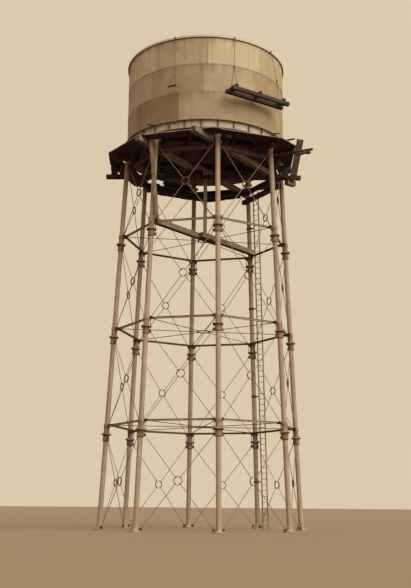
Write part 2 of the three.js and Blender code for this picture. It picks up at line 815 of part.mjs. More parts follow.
const castIron = finish(0x7a6350, 0.7, 0.2);
const wroughtIron = finish(0x3a2a20, 0.75, 0.2);
const tankPaint = finish(0x8f7a5f, 0.65, 0.15);
const darkTimber = finish(0x4a3626, 0.85, 0);
const lightTimber = finish(0x8d7256, 0.85, 0);

// Assembly

const tower = new THREE.Group();

function place(name, geometry, material, turn = 0) {
  const mesh = new THREE.Mesh(geometry, material);
  mesh.name = name;
  mesh.rotation.z = turn;
  tower.add(mesh);
}

const columnGeometry = geometryOf(column());
const sideGeometry = geometryOf(bracingSide());
for (let index = 0; index < columnCount; index += 1) {
  place(`column_${index + 1}`, columnGeometry, castIron, index * sideAngle);
  place(`bracing_side_${index + 1}`, sideGeometry, wroughtIron, index * sideAngle);
}
flangeLevels.forEach((level, index) => {
  place(`plan_bracing_${index + 1}`, geometryOf(planBracing(level)), wroughtIron);
});
place('head_ring_beam', headRingBeam(), wroughtIron);

place('tank_ring_girder', tankRingGirder(), tankPaint);
place('tank_floor_beams', tankFloorBeams(), wroughtIron);
place('tank_floor', tankFloor(), tankPaint);
const wallGeometry = tankWall();
for (let index = 0; index < wallSegments; index += 1) {
  place(`tank_wall_${index + 1}`, wallGeometry, tankPaint, index * ((2 * Math.PI) / wallSegments));
}

place('walkway_deck', walkwayDeck(), darkTimber);
for (const [name, line] of Object.entries(needles)) {
  place(name, deckTimber(line), lightTimber);
}
walkwayBearer.ends.forEach(([angle, to], index) => {
  const line = { heading: 180 - angle, offset: 0, from: walkwayBearer.from, to };
  place(`walkway_bearer_${index + 1}`, deckTimber(line), darkTimber);
});
place('lower_bearer', levelTimber(lowerBearer, lowerBearer.bottom, headBeam.bottom - gap), darkTimber);
place('rear_ledger', ledgerTimber(), darkTimber);
place('needle_block', levelTimber(needleBlock, headBeam.bottom, headBeam.top), darkTimber);
for (const [name, extent] of Object.entries(hangers)) {
  place(name, hangerBoard(extent), darkTimber);
}
place('tall_plank', leaningPlank(), darkTimber);
const crossBlockTop = lowerBearer.bottom - gap;
place('cross_block', levelTimber(crossBlock, crossBlockTop - timber, crossBlockTop), lightTimber);
for (const [name, line] of Object.entries(diagonals)) {
  place(name, levelTimber(line, diagonalBottom, diagonalTop), lightTimber);
}
place('centre_post', centreProp(), lightTimber);
place('leaning_post', deckProp(), lightTimber);
place('long_pole', pole(longPole, headBeam.top), darkTimber);
place('lashed_pole', poleUnderLong(), darkTimber);
place('short_pole', pole(shortPole, deck.bottom + plank), darkTimber);
place('hanging_stage', hangingStage(), darkTimber);
place('chair_rope', ropeChair(), darkTimber);
place('ladder', ladderFrame(), lightTimber);

export default tower;
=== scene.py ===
import math
import random

import bmesh
import bpy
from mathutils import Matrix, Vector, noise


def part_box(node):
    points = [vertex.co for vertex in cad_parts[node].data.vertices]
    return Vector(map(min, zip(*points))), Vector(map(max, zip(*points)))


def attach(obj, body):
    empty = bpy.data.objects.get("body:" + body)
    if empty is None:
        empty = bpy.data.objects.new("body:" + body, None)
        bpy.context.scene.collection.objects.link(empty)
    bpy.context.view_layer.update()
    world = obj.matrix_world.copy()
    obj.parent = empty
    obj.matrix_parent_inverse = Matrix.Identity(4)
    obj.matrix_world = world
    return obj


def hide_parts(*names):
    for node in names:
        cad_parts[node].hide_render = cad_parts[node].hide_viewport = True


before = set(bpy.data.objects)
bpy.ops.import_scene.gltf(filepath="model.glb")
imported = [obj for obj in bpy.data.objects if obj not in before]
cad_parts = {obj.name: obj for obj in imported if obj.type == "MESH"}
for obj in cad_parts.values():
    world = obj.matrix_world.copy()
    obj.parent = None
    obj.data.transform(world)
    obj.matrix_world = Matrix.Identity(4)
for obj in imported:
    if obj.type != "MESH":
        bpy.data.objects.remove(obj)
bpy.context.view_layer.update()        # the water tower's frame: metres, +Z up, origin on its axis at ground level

diceSeed = 27
dice = random.Random(diceSeed)
noise.seed_set(diceSeed)
rightward = Vector((1, 0, 0))
upward = Vector((0, 0, 1))
hairGap = 0.0003         # between faces that touch on the real tower
weldReach = 1e-5         # points closer than this become one
nearlyAlong = 0.9        # a unit direction with this share of an axis lies along it

# What every piece of the tower shares
tower = {
    "columns": 8,
    "baseRadius": 5.03,
    "rake": 0.0461,
    "jointLevels": (4.572, 9.449, 14.326),
    "shaftRadius": 0.122,
    "capTop": 19.1,
    "tankRadius": 4.19,
    "tankBottom": 19.812,
    "courseHeight": 1.524,
    "courses": 3,
}
sideTurn = math.tau / tower["columns"]
rakeAngle = math.atan(tower["rake"])
rimTop = tower["tankBottom"] + tower["courses"] * tower["courseHeight"]


# Places

def ringPoint(radius, angle, height):
    return Vector((radius * math.sin(angle), -radius * math.cos(angle), height))


def columnPoint(index, height):
    return ringPoint(tower["baseRadius"] - tower["rake"] * height, index * sideTurn, height)


# A place on a staging line: a heading from +Y towards +X, a way along it and a way to its right
def onLine(heading, along, aside, height):
    turn = math.radians(heading)
    x = along * math.sin(turn) + aside * math.cos(turn)
    y = along * math.cos(turn) - aside * math.sin(turn)
    return Vector((x, y, height))


# Bracing side 1 spans column 1 to column 2
sideOut = ringPoint(1, sideTurn / 2, 0)
sideAlong = upward.cross(sideOut).normalized()


def besideColumn(end, reach, inward, height):
    direction = 1 if end == 0 else -1
    return columnPoint(end, height) + sideAlong * direction * reach - sideOut * inward


# A matrix that stands a shape's Z along a direction, with its X towards side
def aimed(origin, direction, side=None):
    along = direction.normalized()
    if side is None:
        side = rightward if abs(along.x) < nearlyAlong else Vector((0, 1, 0))
    across = (side - along * side.dot(along)).normalized()
    third = along.cross(across)
    turn = Matrix((across, third, along)).transposed().to_4x4()
    return Matrix.Translation(origin) @ turn


# Shapes

def newShape():
    shape = bmesh.new()
    shape.loops.layers.uv.new("grain")
    shape.faces.layers.float.new("tone")
    return shape


# Adds a shape to a piece; tone lightens or darkens its faces, on top of what they have
def stamp(piece, shape, place=None, tone=0.0):
    layer = shape.faces.layers.float["tone"]
    for face in shape.faces:
        face[layer] += tone
    mesh = bpy.data.meshes.new("stamp")
    shape.to_mesh(mesh)
    shape.free()
    if place is not None:
        mesh.transform(place)
    piece.from_mesh(mesh)
    bpy.data.meshes.remove(mesh)


def everything(shape):
    return shape.verts[:] + shape.edges[:] + shape.faces[:]


def repeatAround(shape, count, sweep=math.tau):
    step = sweep / count
    bmesh.ops.spin(shape, geom=everything(shape), cent=(0, 0, 0), axis=(0, 0, 1), dvec=(0, 0, 0),
                   angle=step * (count - 1), steps=count - 1, use_merge=False, use_duplicate=True)


def repeatAlong(shape, count, stride):
    bmesh.ops.spin(shape, geom=everything(shape), cent=(0, 0, 0), axis=(0, 0, 1), dvec=stride,
                   angle=0, steps=count - 1, use_merge=False, use_duplicate=True)


def bevelEdges(shape, edges, width, segments=1):
    bmesh.ops.bevel(shape, geom=edges, offset=width, offset_type="OFFSET", segments=segments,
                    profile=0.5, affect="EDGES", material=-1, clamp_overlap=True)


# Sections of rings, as (radius, height) pairs
def boxSection(inner, outer, low, high):
    return [(inner, low), (outer, low), (outer, high), (inner, high)]


def chamferedSection(inner, outer, low, high, cut):
    return [(inner + cut, low), (outer - cut, low), (outer, low + cut), (outer, high - cut),
            (outer - cut, high), (inner + cut, high), (inner, high - cut), (inner, low + cut)]


# An angle iron: its heel, then how far its legs go out and up, either of them below 0 for in and down
def angleSection(heel, level, out, up, thickness):
    innerSide = heel + math.copysign(thickness, out)
    innerLevel = level + math.copysign(thickness, up)
    return [(heel, level), (heel + out, level), (heel + out, innerLevel), (innerSide, innerLevel),
            (innerSide, level + up), (heel, level + up)]


# A full turn of a profile of (radius, height) pairs
def turnedShape(profile, segments, closed=False):
    shape = newShape()
    ring = [shape.verts.new((radius, 0, height)) for radius, height in profile]
    edges = [shape.edges.new(pair) for pair in zip(ring, ring[1:])]
    if closed:
        edges.append(shape.edges.new((ring[-1], ring[0])))
    bmesh.ops.spin(shape, geom=ring + edges, cent=(0, 0, 0), axis=(0, 0, 1), dvec=(0, 0, 0),
                   angle=math.tau, steps=segments, use_merge=True, use_duplicate=False)
    bmesh.ops.remove_doubles(shape, verts=shape.verts, dist=weldReach)
    bmesh.ops.recalc_face_normals(shape, faces=shape.faces)
    return shape


# A closed profile swept part of the way round, with closed ends
def arcShape(profile, start, sweep, steps):
    shape = newShape()
    ring = [shape.verts.new(ringPoint(radius, start, height)) for radius, height in profile]
    face = shape.faces.new(ring)
    bmesh.ops.spin(shape, geom=ring + face.edges[:] + [face], cent=(0, 0, 0), axis=(0, 0, 1),
                   dvec=(0, 0, 0), angle=sweep, steps=steps, use_merge=False, use_duplicate=False)
    bmesh.ops.recalc_face_normals(shape, faces=shape.faces)
    return shape


def boxShape(size, bevel=0.004, segments=1):
    shape = newShape()
    bmesh.ops.create_cube(shape, size=1)
    bmesh.ops.scale(shape, vec=size, verts=shape.verts)
    if bevel:
        bevelEdges(shape, shape.edges[:], bevel, segments)
    return shape


def rodShape(radius, length, sides=12, endRadius=None, bevel=0):
    shape = newShape()
    end = radius if endRadius is None else endRadius
    bmesh.ops.create_cone(shape, cap_ends=True, segments=sides, radius1=radius, radius2=end, depth=length)
    if bevel:
        caps = [edge for edge in shape.edges if abs(edge.verts[0].co.z - edge.verts[1].co.z) < weldReach]
        bevelEdges(shape, caps, bevel)
    return shape


def addRod(piece, start, end, radius, sides=12, endRadius=None, bevel=0, tone=0.0):
    shape = rodShape(radius, (end - start).length, sides, endRadius, bevel)
    stamp(piece, shape, aimed((start + end) / 2, end - start), tone)


# A straight bar; width is measured along side
def addBar(piece, start, end, width, depth, side=upward, bevel=0.004, tone=0.0):
    shape = boxShape((width, depth, (end - start).length), bevel)
    stamp(piece, shape, aimed((start + end) / 2, end - start, side), tone)


# A flat outline pushed out along a direction
def plateShape(corners, push, bevel=0.0):
    shape = newShape()
    face = shape.faces.new([shape.verts.new(corner) for corner in corners])
    pushed = bmesh.ops.extrude_face_region(shape, geom=[face])["geom"]
    bmesh.ops.translate(shape, vec=push, verts=[v for v in pushed if isinstance(v, bmesh.types.BMVert)])
    bmesh.ops.recalc_face_normals(shape, faces=shape.faces)
    if bevel:
        bevelEdges(shape, shape.edges[:], bevel)
    return shape


# A bolt or rivet head that stands on a surface
def headShape(point, outward, radius, height, sides=6, top=0.62):
    shape = newShape()
    place = aimed(point + outward.normalized() * height / 2, outward)
    bmesh.ops.create_cone(shape, cap_ends=True, segments=sides, radius1=radius, radius2=radius * top,
                          depth=height, matrix=place)
    return shape


# A washer, a nut and a bolt's end, stood on one another
def addStack(piece, point, outward, stack):
    for radius, height, sides, top in stack:
        stamp(piece, headShape(point, outward, radius, height, sides, top))
        point = point + outward * height


rivet = {"radius": 0.0135, "height": 0.011, "sides": 7}


def rivetAt(point, outward):
    return headShape(point, outward, rivet["radius"], rivet["height"], rivet["sides"])


# A level row of rivets round the tower's axis; side is 1 outside a wall and -1 inside it
def addRivetRing(piece, radius, height, count, side=1):
    shape = rivetAt(ringPoint(radius, 0, height), ringPoint(side, 0, 0))
    repeatAround(shape, count)
    stamp(piece, shape)


# The same on a level face; side is 1 on top of it and -1 under it
def addFlatRivetRing(piece, radius, height, count, side=1):
    shape = rivetAt(ringPoint(radius, 0, height), upward * side)
    repeatAround(shape, count)
    stamp(piece, shape)


# A bmesh made into a piece of the tower
def finishPiece(name, piece, material, replaced=(), sharp=35):
    mesh = bpy.data.meshes.new(name)
    piece.to_mesh(mesh)
    piece.free()
    mesh.shade_smooth()
    mesh.set_sharp_from_angle(angle=math.radians(sharp))
    mesh.materials.append(material)
    obj = bpy.data.objects.new(name, mesh)
    bpy.context.scene.collection.objects.link(obj)
    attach(obj, "root")
    if replaced:
        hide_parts(*replaced)
    return obj


# Turns a finished shape into the eight like pieces round the tower
def finishEight(names, piece, material, replaced=None):
    for index in range(tower["columns"]):
        turned = piece.copy()
        turned.transform(Matrix.Rotation(index * sideTurn, 4, "Z"))
        stoodIn = [replaced.format(index + 1)] if replaced else []
        finishPiece(names.format(index + 1), turned, material, stoodIn)
    piece.free()


# Node groups

# A node group that gives a colour, a roughness and a height, with its inputs and their first values
def newGroup(name, inputs):
    group = bpy.data.node_groups.new(name, "ShaderNodeTree")
    for title, value in inputs.items():
        kind = "NodeSocketColor" if isinstance(value, tuple) else "NodeSocketFloat"
        made = group.interface.new_socket(name=title, in_out="INPUT", socket_type=kind)
        made.default_value = value
    group.interface.new_socket(name="Color", in_out="OUTPUT", socket_type="NodeSocketColor")
    for title in ("Roughness", "Height"):
        group.interface.new_socket(name=title, in_out="OUTPUT", socket_type="NodeSocketFloat")
    given = group.nodes.new("NodeGroupInput").outputs
    made = group.nodes.new("NodeGroupOutput").inputs
    return group, given, made


def link(tree, start, end):
    tree.links.new(start, end)


def addNode(tree, kind, **values):
    node = tree.nodes.new("ShaderNode" + kind)
    for name, value in values.items():
        setattr(node, name, value)
    return node


# Gives a socket a constant or another node's output
def feed(tree, value, target):
    if isinstance(value, (int, float, tuple)):
        target.default_value = value
    else:
        link(tree, value, target)


def mathNode(tree, operation, *values):
    node = addNode(tree, "Math", operation=operation)
    for index, value in enumerate(values):
        feed(tree, value, node.inputs[index])
    return node.outputs[0]


def noiseNode(tree, vector, scale, detail, roughness):
    node = addNode(tree, "TexNoise")
    node.inputs["Detail"].default_value = detail
    node.inputs["Roughness"].default_value = roughness
    link(tree, vector, node.inputs["Vector"])
    feed(tree, scale, node.inputs["Scale"])
    return node.outputs["Fac"]


# A smooth step of a value over one range, into another
def rangeNode(tree, value, span, result=(0.0, 1.0)):
    node = addNode(tree, "MapRange", interpolation_type="SMOOTHSTEP")
    link(tree, value, node.inputs["Value"])
    for name, number in zip(("From Min", "From Max", "To Min", "To Max"), (*span, *result)):
        node.inputs[name].default_value = number
    return node.outputs["Result"]


def mixNode(tree, share, first, second):
    node = addNode(tree, "Mix", data_type="RGBA", clamp_result=True)
    for name, value in (("Factor", share), ("A", first), ("B", second)):
        target = next(entry for entry in node.inputs if entry.name == name and entry.enabled)
        feed(tree, value, target)
    return next(entry for entry in node.outputs if entry.enabled)


def stretched(tree, vector, scale):
    node = addNode(tree, "Mapping", vector_type="POINT")
    node.inputs["Scale"].default_value = scale
    link(tree, vector, node.inputs["Vector"])
    return node.outputs["Vector"]


# Old paint on iron: pale worn patches, dark runs down the face and a grainy surface
paintWear = {
    "inputs": {"Paint": (0.5, 0.4, 0.3, 1), "Bleached": (0.6, 0.5, 0.4, 1), "Stained": (0.1, 0.06, 0.04, 1),
               "Patch Size": 1.2, "Patch Share": 0.6, "Run Share": 0.5, "Tone Share": 0.15},
    "patchRange": (0.42, 0.66),
    "runStretch": (5.5, 5.5, 0.32),
    "runRange": (0.5, 0.74),
    "grainScale": 34.0,
    "spotRange": (0.56, 0.78),
    "grainContrast": 0.22,
    "darkWarmth": 0.9,
    "mostReddening": 0.2,
    "reddening": 0.07,
    "roughness": 0.62,
    "runRoughness": 0.18,
    "grainRoughness": 0.16,
    "patchHeight": 0.5,
}


def weatherGroup():
    group, given, made = newGroup("weathering", paintWear["inputs"])
    place = addNode(group, "TexCoord").outputs["Object"]
    patches = noiseNode(group, place, given["Patch Size"], detail=7, roughness=0.62)
    runs = noiseNode(group, stretched(group, place, paintWear["runStretch"]), 1.0, detail=6, roughness=0.6)
    grains = noiseNode(group, place, paintWear["grainScale"], detail=4, roughness=0.65)
    tone = addNode(group, "Attribute", attribute_name="tone").outputs["Fac"]
    patchMask, runMask, spotMask = (
        mathNode(group, "MULTIPLY", rangeNode(group, value, paintWear[span]), given[share])
        for value, span, share in ((patches, "patchRange", "Patch Share"), (runs, "runRange", "Run Share"),
                                   (grains, "spotRange", "Run Share")))
    worn = mixNode(group, patchMask, given["Paint"], given["Bleached"])
    streaked = mixNode(group, runMask, worn, given["Stained"])
    spotted = mixNode(group, spotMask, streaked, given["Stained"])

    # tone, which carries painted shade and highlights as well as real differences, and grain set the brightness,
    # and darker faces turn warmer and a little redder
    shade = addNode(group, "HueSaturation")
    toneShift = mathNode(group, "MULTIPLY", tone, given["Tone Share"])
    centred = mathNode(group, "SUBTRACT", grains, 0.5)
    grainShift = mathNode(group, "MULTIPLY", centred, paintWear["grainContrast"])
    brightness = mathNode(group, "ADD", mathNode(group, "ADD", toneShift, grainShift), 1.0)
    link(group, brightness, shade.inputs["Value"])
    warmth = mathNode(group, "MAXIMUM", mathNode(group, "MULTIPLY", toneShift, -paintWear["darkWarmth"]), 0.0)
    link(group, mathNode(group, "ADD", warmth, 1.0), shade.inputs["Saturation"])
    limited = mathNode(group, "MINIMUM", warmth, paintWear["mostReddening"])
    reddening = mathNode(group, "MULTIPLY", limited, paintWear["reddening"])
    link(group, mathNode(group, "SUBTRACT", 0.5, reddening), shade.inputs["Hue"])
    link(group, spotted, shade.inputs["Color"])
    link(group, shade.outputs["Color"], made["Color"])

    runRough = mathNode(group, "MULTIPLY", runMask, paintWear["runRoughness"])
    grainRough = mathNode(group, "MULTIPLY", grains, paintWear["grainRoughness"])
    rough = mathNode(group, "ADD", runRough, paintWear["roughness"])
    link(group, mathNode(group, "ADD", rough, grainRough), made["Roughness"])
    patchHeight = mathNode(group, "MULTIPLY", patches, paintWear["patchHeight"])
    link(group, mathNode(group, "ADD", patchHeight, grains), made["Height"])
    return group


# Sawn wood whose grain follows the length of each timber through its own UV map
sawnWood = {
    "inputs": {"Wood": (0.4, 0.28, 0.18, 1), "Pale": (0.6, 0.5, 0.38, 1), "Dark": (0.1, 0.06, 0.04, 1),
               "Grain Width": 26.0, "Dirt Share": 0.5, "Tone Share": 0.4},
    "fibreStretch": (0.06, 1, 1),
    "fibreRange": (0.52, 0.74),
    "fibreShare": 0.75,
    "bandStretch": (0.035, 0.32, 1),
    "bandRange": (0.38, 0.66),
    "dirtScale": 1.6,
    "dirtRange": (0.44, 0.7),
    "lightGreying": 0.11,
    "mostLightGreying": 0.6,
    "roughRange": (0.3, 0.7),
    "roughness": (0.74, 0.93),
}


def grainGroup():
    group, given, made = newGroup("sawnGrain", sawnWood["inputs"])
    grainMap = addNode(group, "UVMap", uv_map="grain").outputs["UV"]
    place = addNode(group, "TexCoord").outputs["Object"]
    tone = addNode(group, "Attribute", attribute_name="tone").outputs["Fac"]
    fibreMap = stretched(group, grainMap, sawnWood["fibreStretch"])
    fibres = noiseNode(group, fibreMap, given["Grain Width"], detail=7, roughness=0.62)
    bandMap = stretched(group, grainMap, sawnWood["bandStretch"])
    bands = noiseNode(group, bandMap, given["Grain Width"], detail=3, roughness=0.5)
    dirt = noiseNode(group, place, sawnWood["dirtScale"], detail=6, roughness=0.65)
    body = mixNode(group, rangeNode(group, bands, sawnWood["bandRange"]), given["Wood"], given["Pale"])
    fibreMask = rangeNode(group, fibres, sawnWood["fibreRange"], (0.0, sawnWood["fibreShare"]))
    lined = mixNode(group, fibreMask, body, given["Dark"])
    dirtMask = mathNode(group, "MULTIPLY", rangeNode(group, dirt, sawnWood["dirtRange"]), given["Dirt Share"])
    dirty = mixNode(group, dirtMask, lined, given["Dark"])

    # tone sets the brightness, painted highlights and shade among it, and much lighter faces, such as the painted
    # highlight on deck board edges, turn greyer
    shade = addNode(group, "HueSaturation")
    shift = mathNode(group, "MULTIPLY", tone, given["Tone Share"])
    link(group, mathNode(group, "ADD", shift, 1.0), shade.inputs["Value"])
    greyed = mathNode(group, "MULTIPLY", shift, sawnWood["lightGreying"])
    lightGreying = mathNode(group, "MINIMUM", greyed, sawnWood["mostLightGreying"])
    link(group, mathNode(group, "SUBTRACT", 1.0, lightGreying), shade.inputs["Saturation"])
    link(group, dirty, shade.inputs["Color"])
    link(group, shade.outputs["Color"], made["Color"])
    link(group, rangeNode(group, fibres, sawnWood["roughRange"], sawnWood["roughness"]), made["Roughness"])
    link(group, mathNode(group, "SUBTRACT", 1.0, fibres), made["Height"])
    return group


weathering = weatherGroup()
sawnGrain = grainGroup()


# Materials

# A colour as an eye reads it, 0 to 255, in the renderer's own linear values
def srgb(red, green, blue):
    channels = []
    for value in (red, green, blue):
        share = value / 255
        channels.append(share / 12.92 if share <= 0.04045 else ((share + 0.055) / 1.055) ** 2.4)
    return (*channels, 1.0)


def newMaterial(name):
    material = bpy.data.materials.new(name)
    material.use_nodes = True
    return material, material.node_tree, material.node_tree.nodes["Principled BSDF"]


def addBump(tree, shader, height, depth, strength=1.0):
    bump = addNode(tree, "Bump")
    bump.inputs["Distance"].default_value = depth
    bump.inputs["Strength"].default_value = strength
    link(tree, height, bump.inputs["Height"])
    link(tree, bump.outputs["Normal"], shader.inputs["Normal"])


def groupMaterial(name, group, bumpDepth, values):
    material, tree, shader = newMaterial(name)
    effect = addNode(tree, "Group", node_tree=group)
    for key, value in values.items():
        effect.inputs[key].default_value = value
    link(tree, effect.outputs["Color"], shader.inputs["Base Color"])
    link(tree, effect.outputs["Roughness"], shader.inputs["Roughness"])
    addBump(tree, shader, effect.outputs["Height"], bumpDepth, strength=0.7)
    return material


def iron(name, paint, bleached, stained, patchSize, patchShare, runShare, toneShare=0.3, bumpDepth=0.003):
    return groupMaterial(name, weathering, bumpDepth, {
        "Paint": srgb(*paint), "Bleached": srgb(*bleached), "Stained": srgb(*stained),
        "Patch Size": patchSize, "Patch Share": patchShare, "Run Share": runShare, "Tone Share": toneShare})


def wood(name, body, pale, dark, grainWidth, dirtShare, bumpDepth=0.004):
    return groupMaterial(name, sawnGrain, bumpDepth, {
        "Wood": srgb(*body), "Pale": srgb(*pale), "Dark": srgb(*dark), "Grain Width": grainWidth,
        "Dirt Share": dirtShare, "Tone Share": 0.5})


columnIron = iron("columnIron", paint=(167, 148, 119), bleached=(184, 166, 138), stained=(94, 71, 50),
                  patchSize=1.6, patchShare=0.6, runShare=0.5)
collarIron = iron("collarIron", paint=(148, 130, 102), bleached=(176, 159, 128), stained=(62, 42, 28),
                  patchSize=2.4, patchShare=0.7, runShare=0.7)
# darker paint for the bracket and lug fittings, made darker still as painted shade for the shade they mostly sit
# in
shadedJointIron = iron("shadedJointIron", paint=(84, 57, 38), bleached=(110, 80, 56), stained=(38, 21, 13),
                 patchSize=3.2, patchShare=0.6, runShare=0.6)
rodIron = iron("rodIron", paint=(138, 122, 100), bleached=(160, 146, 122), stained=(84, 66, 50),
               patchSize=2.6, patchShare=0.5, runShare=0.5, bumpDepth=0.002)
strutIron = iron("strutIron", paint=(156, 138, 110), bleached=(180, 164, 134), stained=(92, 70, 50),
                 patchSize=2.0, patchShare=0.5, runShare=0.5)
bracingIron = iron("bracingIron", paint=(66, 51, 40), bleached=(92, 75, 62), stained=(38, 27, 21),
                   patchSize=2.6, patchShare=0.5, runShare=0.6)
girderIron = iron("girderIron", paint=(186, 175, 150), bleached=(202, 192, 168), stained=(104, 84, 62),
                  patchSize=1.3, patchShare=0.5, runShare=0.5, toneShare=0.6)
floorIron = iron("floorIron", paint=(92, 74, 62), bleached=(116, 98, 82), stained=(54, 40, 32),
                 patchSize=0.8, patchShare=0.7, runShare=0.6)
darkWood = wood("darkWood", body=(80, 64, 52), pale=(106, 88, 72), dark=(40, 28, 22), grainWidth=24.0,
                dirtShare=0.6)
# dark weathered wood, made darker still as painted shade for the deck and the timbers under it
blackWoodAndShade = wood("blackWoodAndShade", body=(56, 39, 30), pale=(79, 59, 46), dark=(27, 16, 12), grainWidth=24.0,
                 dirtShare=0.5)
paleWood = wood("paleWood", body=(132, 114, 90), pale=(158, 140, 114), dark=(74, 55, 41), grainWidth=22.0,
                dirtShare=0.5)


# Tank plates: the weathering, a fine dark line at each plate's edges and runs below each seam
plateSeams = {
    "plates": 9,
    "starts": (0.209, -0.183, -0.131),
    "courseTones": (-0.8, -0.4, 0.3),
    # plates made darker than the rest of their course
    "darkerPlates": ((0, 7), (1, 1), (1, 8), (2, 1), (2, 8)),    # course and plate
    "darkerPlateTone": -0.6,
    "toneSpread": 0.2,
    "line": (0.012, 0.03),
    "lineShare": 0.16,
    "dirt": (92, 72, 54),
    "runStretch": (3.5, 3.5, 0.12),
    "runRange": (0.45, 0.68),
    "runLength": 0.5,
    "runShare": 0.35,
}
plateTurn = math.tau / plateSeams["plates"]


def tankMaterial():
    material = iron("tankIron", paint=(186, 171, 134), bleached=(202, 188, 152), stained=(134, 114, 84),
                    patchSize=0.7, patchShare=0.7, runShare=0.35)
    tree = material.node_tree
    split = addNode(tree, "SeparateXYZ")
    link(tree, addNode(tree, "UVMap", uv_map="grain").outputs["UV"], split.inputs["Vector"])
    lines = []
    for axis, length in (("X", plateTurn * tower["tankRadius"]), ("Y", tower["courseHeight"])):
        nearEdge = mathNode(tree, "PINGPONG", split.outputs[axis], length / 2)
        lines.append(rangeNode(tree, nearEdge, plateSeams["line"], (1.0, 0.0)))
    lineMask = mathNode(tree, "MULTIPLY", mathNode(tree, "MAXIMUM", *lines), plateSeams["lineShare"])
    place = addNode(tree, "TexCoord").outputs["Object"]
    runs = noiseNode(tree, stretched(tree, place, plateSeams["runStretch"]), 1.0, detail=5, roughness=0.6)
    runSpan = ((1 - plateSeams["runLength"]) * tower["courseHeight"], tower["courseHeight"])
    runFall = rangeNode(tree, split.outputs["Y"], runSpan, (0.0, plateSeams["runShare"]))
    runMask = mathNode(tree, "MULTIPLY", rangeNode(tree, runs, plateSeams["runRange"]), runFall)
    dirt = mathNode(tree, "MAXIMUM", lineMask, runMask)
    color = mixNode(tree, dirt, tree.nodes["Group"].outputs["Color"], srgb(*plateSeams["dirt"]))
    link(tree, color, tree.nodes["Principled BSDF"].inputs["Base Color"])
    return material


tankIron = tankMaterial()

# Laid rope: slanting light and dark strands
ropeLook = {"dark": (92, 74, 56), "light": (152, 132, 104), "strands": (9, 3, 1), "scale": 2.0,
            "distortion": 1.5, "roughness": 0.92, "bump": 0.004}


def ropeMaterial():
    material, tree, shader = newMaterial("hempRope")
    shader.inputs["Roughness"].default_value = ropeLook["roughness"]
    wave = addNode(tree, "TexWave", wave_type="BANDS", bands_direction="DIAGONAL")
    wave.inputs["Scale"].default_value = ropeLook["scale"]
    wave.inputs["Distortion"].default_value = ropeLook["distortion"]
    ropeMap = addNode(tree, "UVMap", uv_map="grain").outputs["UV"]
    link(tree, stretched(tree, ropeMap, ropeLook["strands"]), wave.inputs["Vector"])
    color = mixNode(tree, wave.outputs["Fac"], srgb(*ropeLook["dark"]), srgb(*ropeLook["light"]))
    link(tree, color, shader.inputs["Base Color"])
    addBump(tree, shader, wave.outputs["Fac"], ropeLook["bump"])
    return material


hempRope = ropeMaterial()
print("materials made")


# Columns

column = {
    "segments": 40,
    "foot": (0.31, 0.04),
    "cap": (0.25, 0.04),
    "plateEdge": 0.008,
    "footBolts": 6,
    "footBoltRing": 0.26,
    "footBoltStack": ((0.032, 0.012, 16, 1.0), (0.025, 0.026, 6, 1.0), (0.014, 0.022, 6, 1.0)),
    "bolts": 8,
    "boltRing": 0.205,
    "boltSeat": 0.034,
    "boltStack": ((0.021, 0.02, 6, 1.0), (0.011, 0.014, 6, 1.0)),
    "earRoot": (0.15, 0.108),
    "earTip": (0.252, 0.037),
    "earArc": (-70, -40, -12, 12, 40, 70),
    "earHalf": 0.029,
    "earEdge": 0.005,
}
# Outlines of the castings: radius, and height over the joint, the ground or the cap plate
jointProfile = [
    (0.118, -0.372), (0.134, -0.364), (0.150, -0.345), (0.166, -0.320), (0.172, -0.300), (0.172, -0.286),
    (0.162, -0.278), (0.158, -0.262), (0.160, -0.110), (0.164, -0.074), (0.172, -0.048), (0.172, -0.0325),
    (0.234, -0.032), (0.240, -0.026), (0.240, -0.003), (0.234, -0.002), (0.234, 0.002), (0.240, 0.003),
    (0.240, 0.026), (0.234, 0.032), (0.150, 0.0325), (0.150, 0.050), (0.142, 0.066), (0.136, 0.090),
    (0.136, 0.262), (0.139, 0.300), (0.147, 0.344), (0.157, 0.378), (0.158, 0.386),
    (0.158, 0.506), (0.152, 0.518), (0.118, 0.520),
]
footProfile = [
    (0.000, 0.02), (0.190, 0.020), (0.190, 0.042), (0.178, 0.062), (0.158, 0.092), (0.144, 0.130),
    (0.137, 0.165), (0.137, 0.185), (0.143, 0.192), (0.143, 0.212), (0.134, 0.222), (0.122, 0.232),
]
crownProfile = [
    (0.122, -0.19), (0.136, -0.18), (0.136, -0.155), (0.126, -0.145), (0.135, -0.10), (0.158, -0.03),
    (0.170, 0.0), (0.170, 0.02), (0.0, 0.02),
]
# Painted shade under the flanges and a painted highlight on their upper edge: each band of a joint is its top
# height and its tone
jointShadeTones = ((-0.28, -0.6), (-0.07, -0.9), (-0.002, -2.2), (0.034, 0.7), (0.09, -0.8), (0.37, -0.3),
              (0.6, 0.0))
leaning = Matrix.Translation(columnPoint(0, 0)) @ Matrix.Rotation(-rakeAngle, 4, "X")


def shaftPiece():
    piece = newShape()
    capBottom = tower["capTop"] - column["cap"][1]
    crown = [(radius, (capBottom + height) / math.cos(rakeAngle)) for radius, height in crownProfile]
    stamp(piece, turnedShape(footProfile + crown, column["segments"]), leaning)
    edge = column["plateEdge"]
    for radius, thickness, bottom in ((*column["foot"], 0.0), (*column["cap"], capBottom)):
        profile = [(0, 0), (radius - edge, 0), (radius, edge), (radius, thickness - edge),
                   (radius - edge, thickness), (0, thickness)]
        stamp(piece, turnedShape(profile, column["segments"]), Matrix.Translation(columnPoint(0, bottom)))
    footBolts = newShape()
    seat = Vector((column["footBoltRing"], 0, column["foot"][1]))
    addStack(footBolts, seat, upward, column["footBoltStack"])
    repeatAround(footBolts, column["footBolts"])
    stamp(piece, footBolts, Matrix.Translation(columnPoint(0, 0)))
    return piece


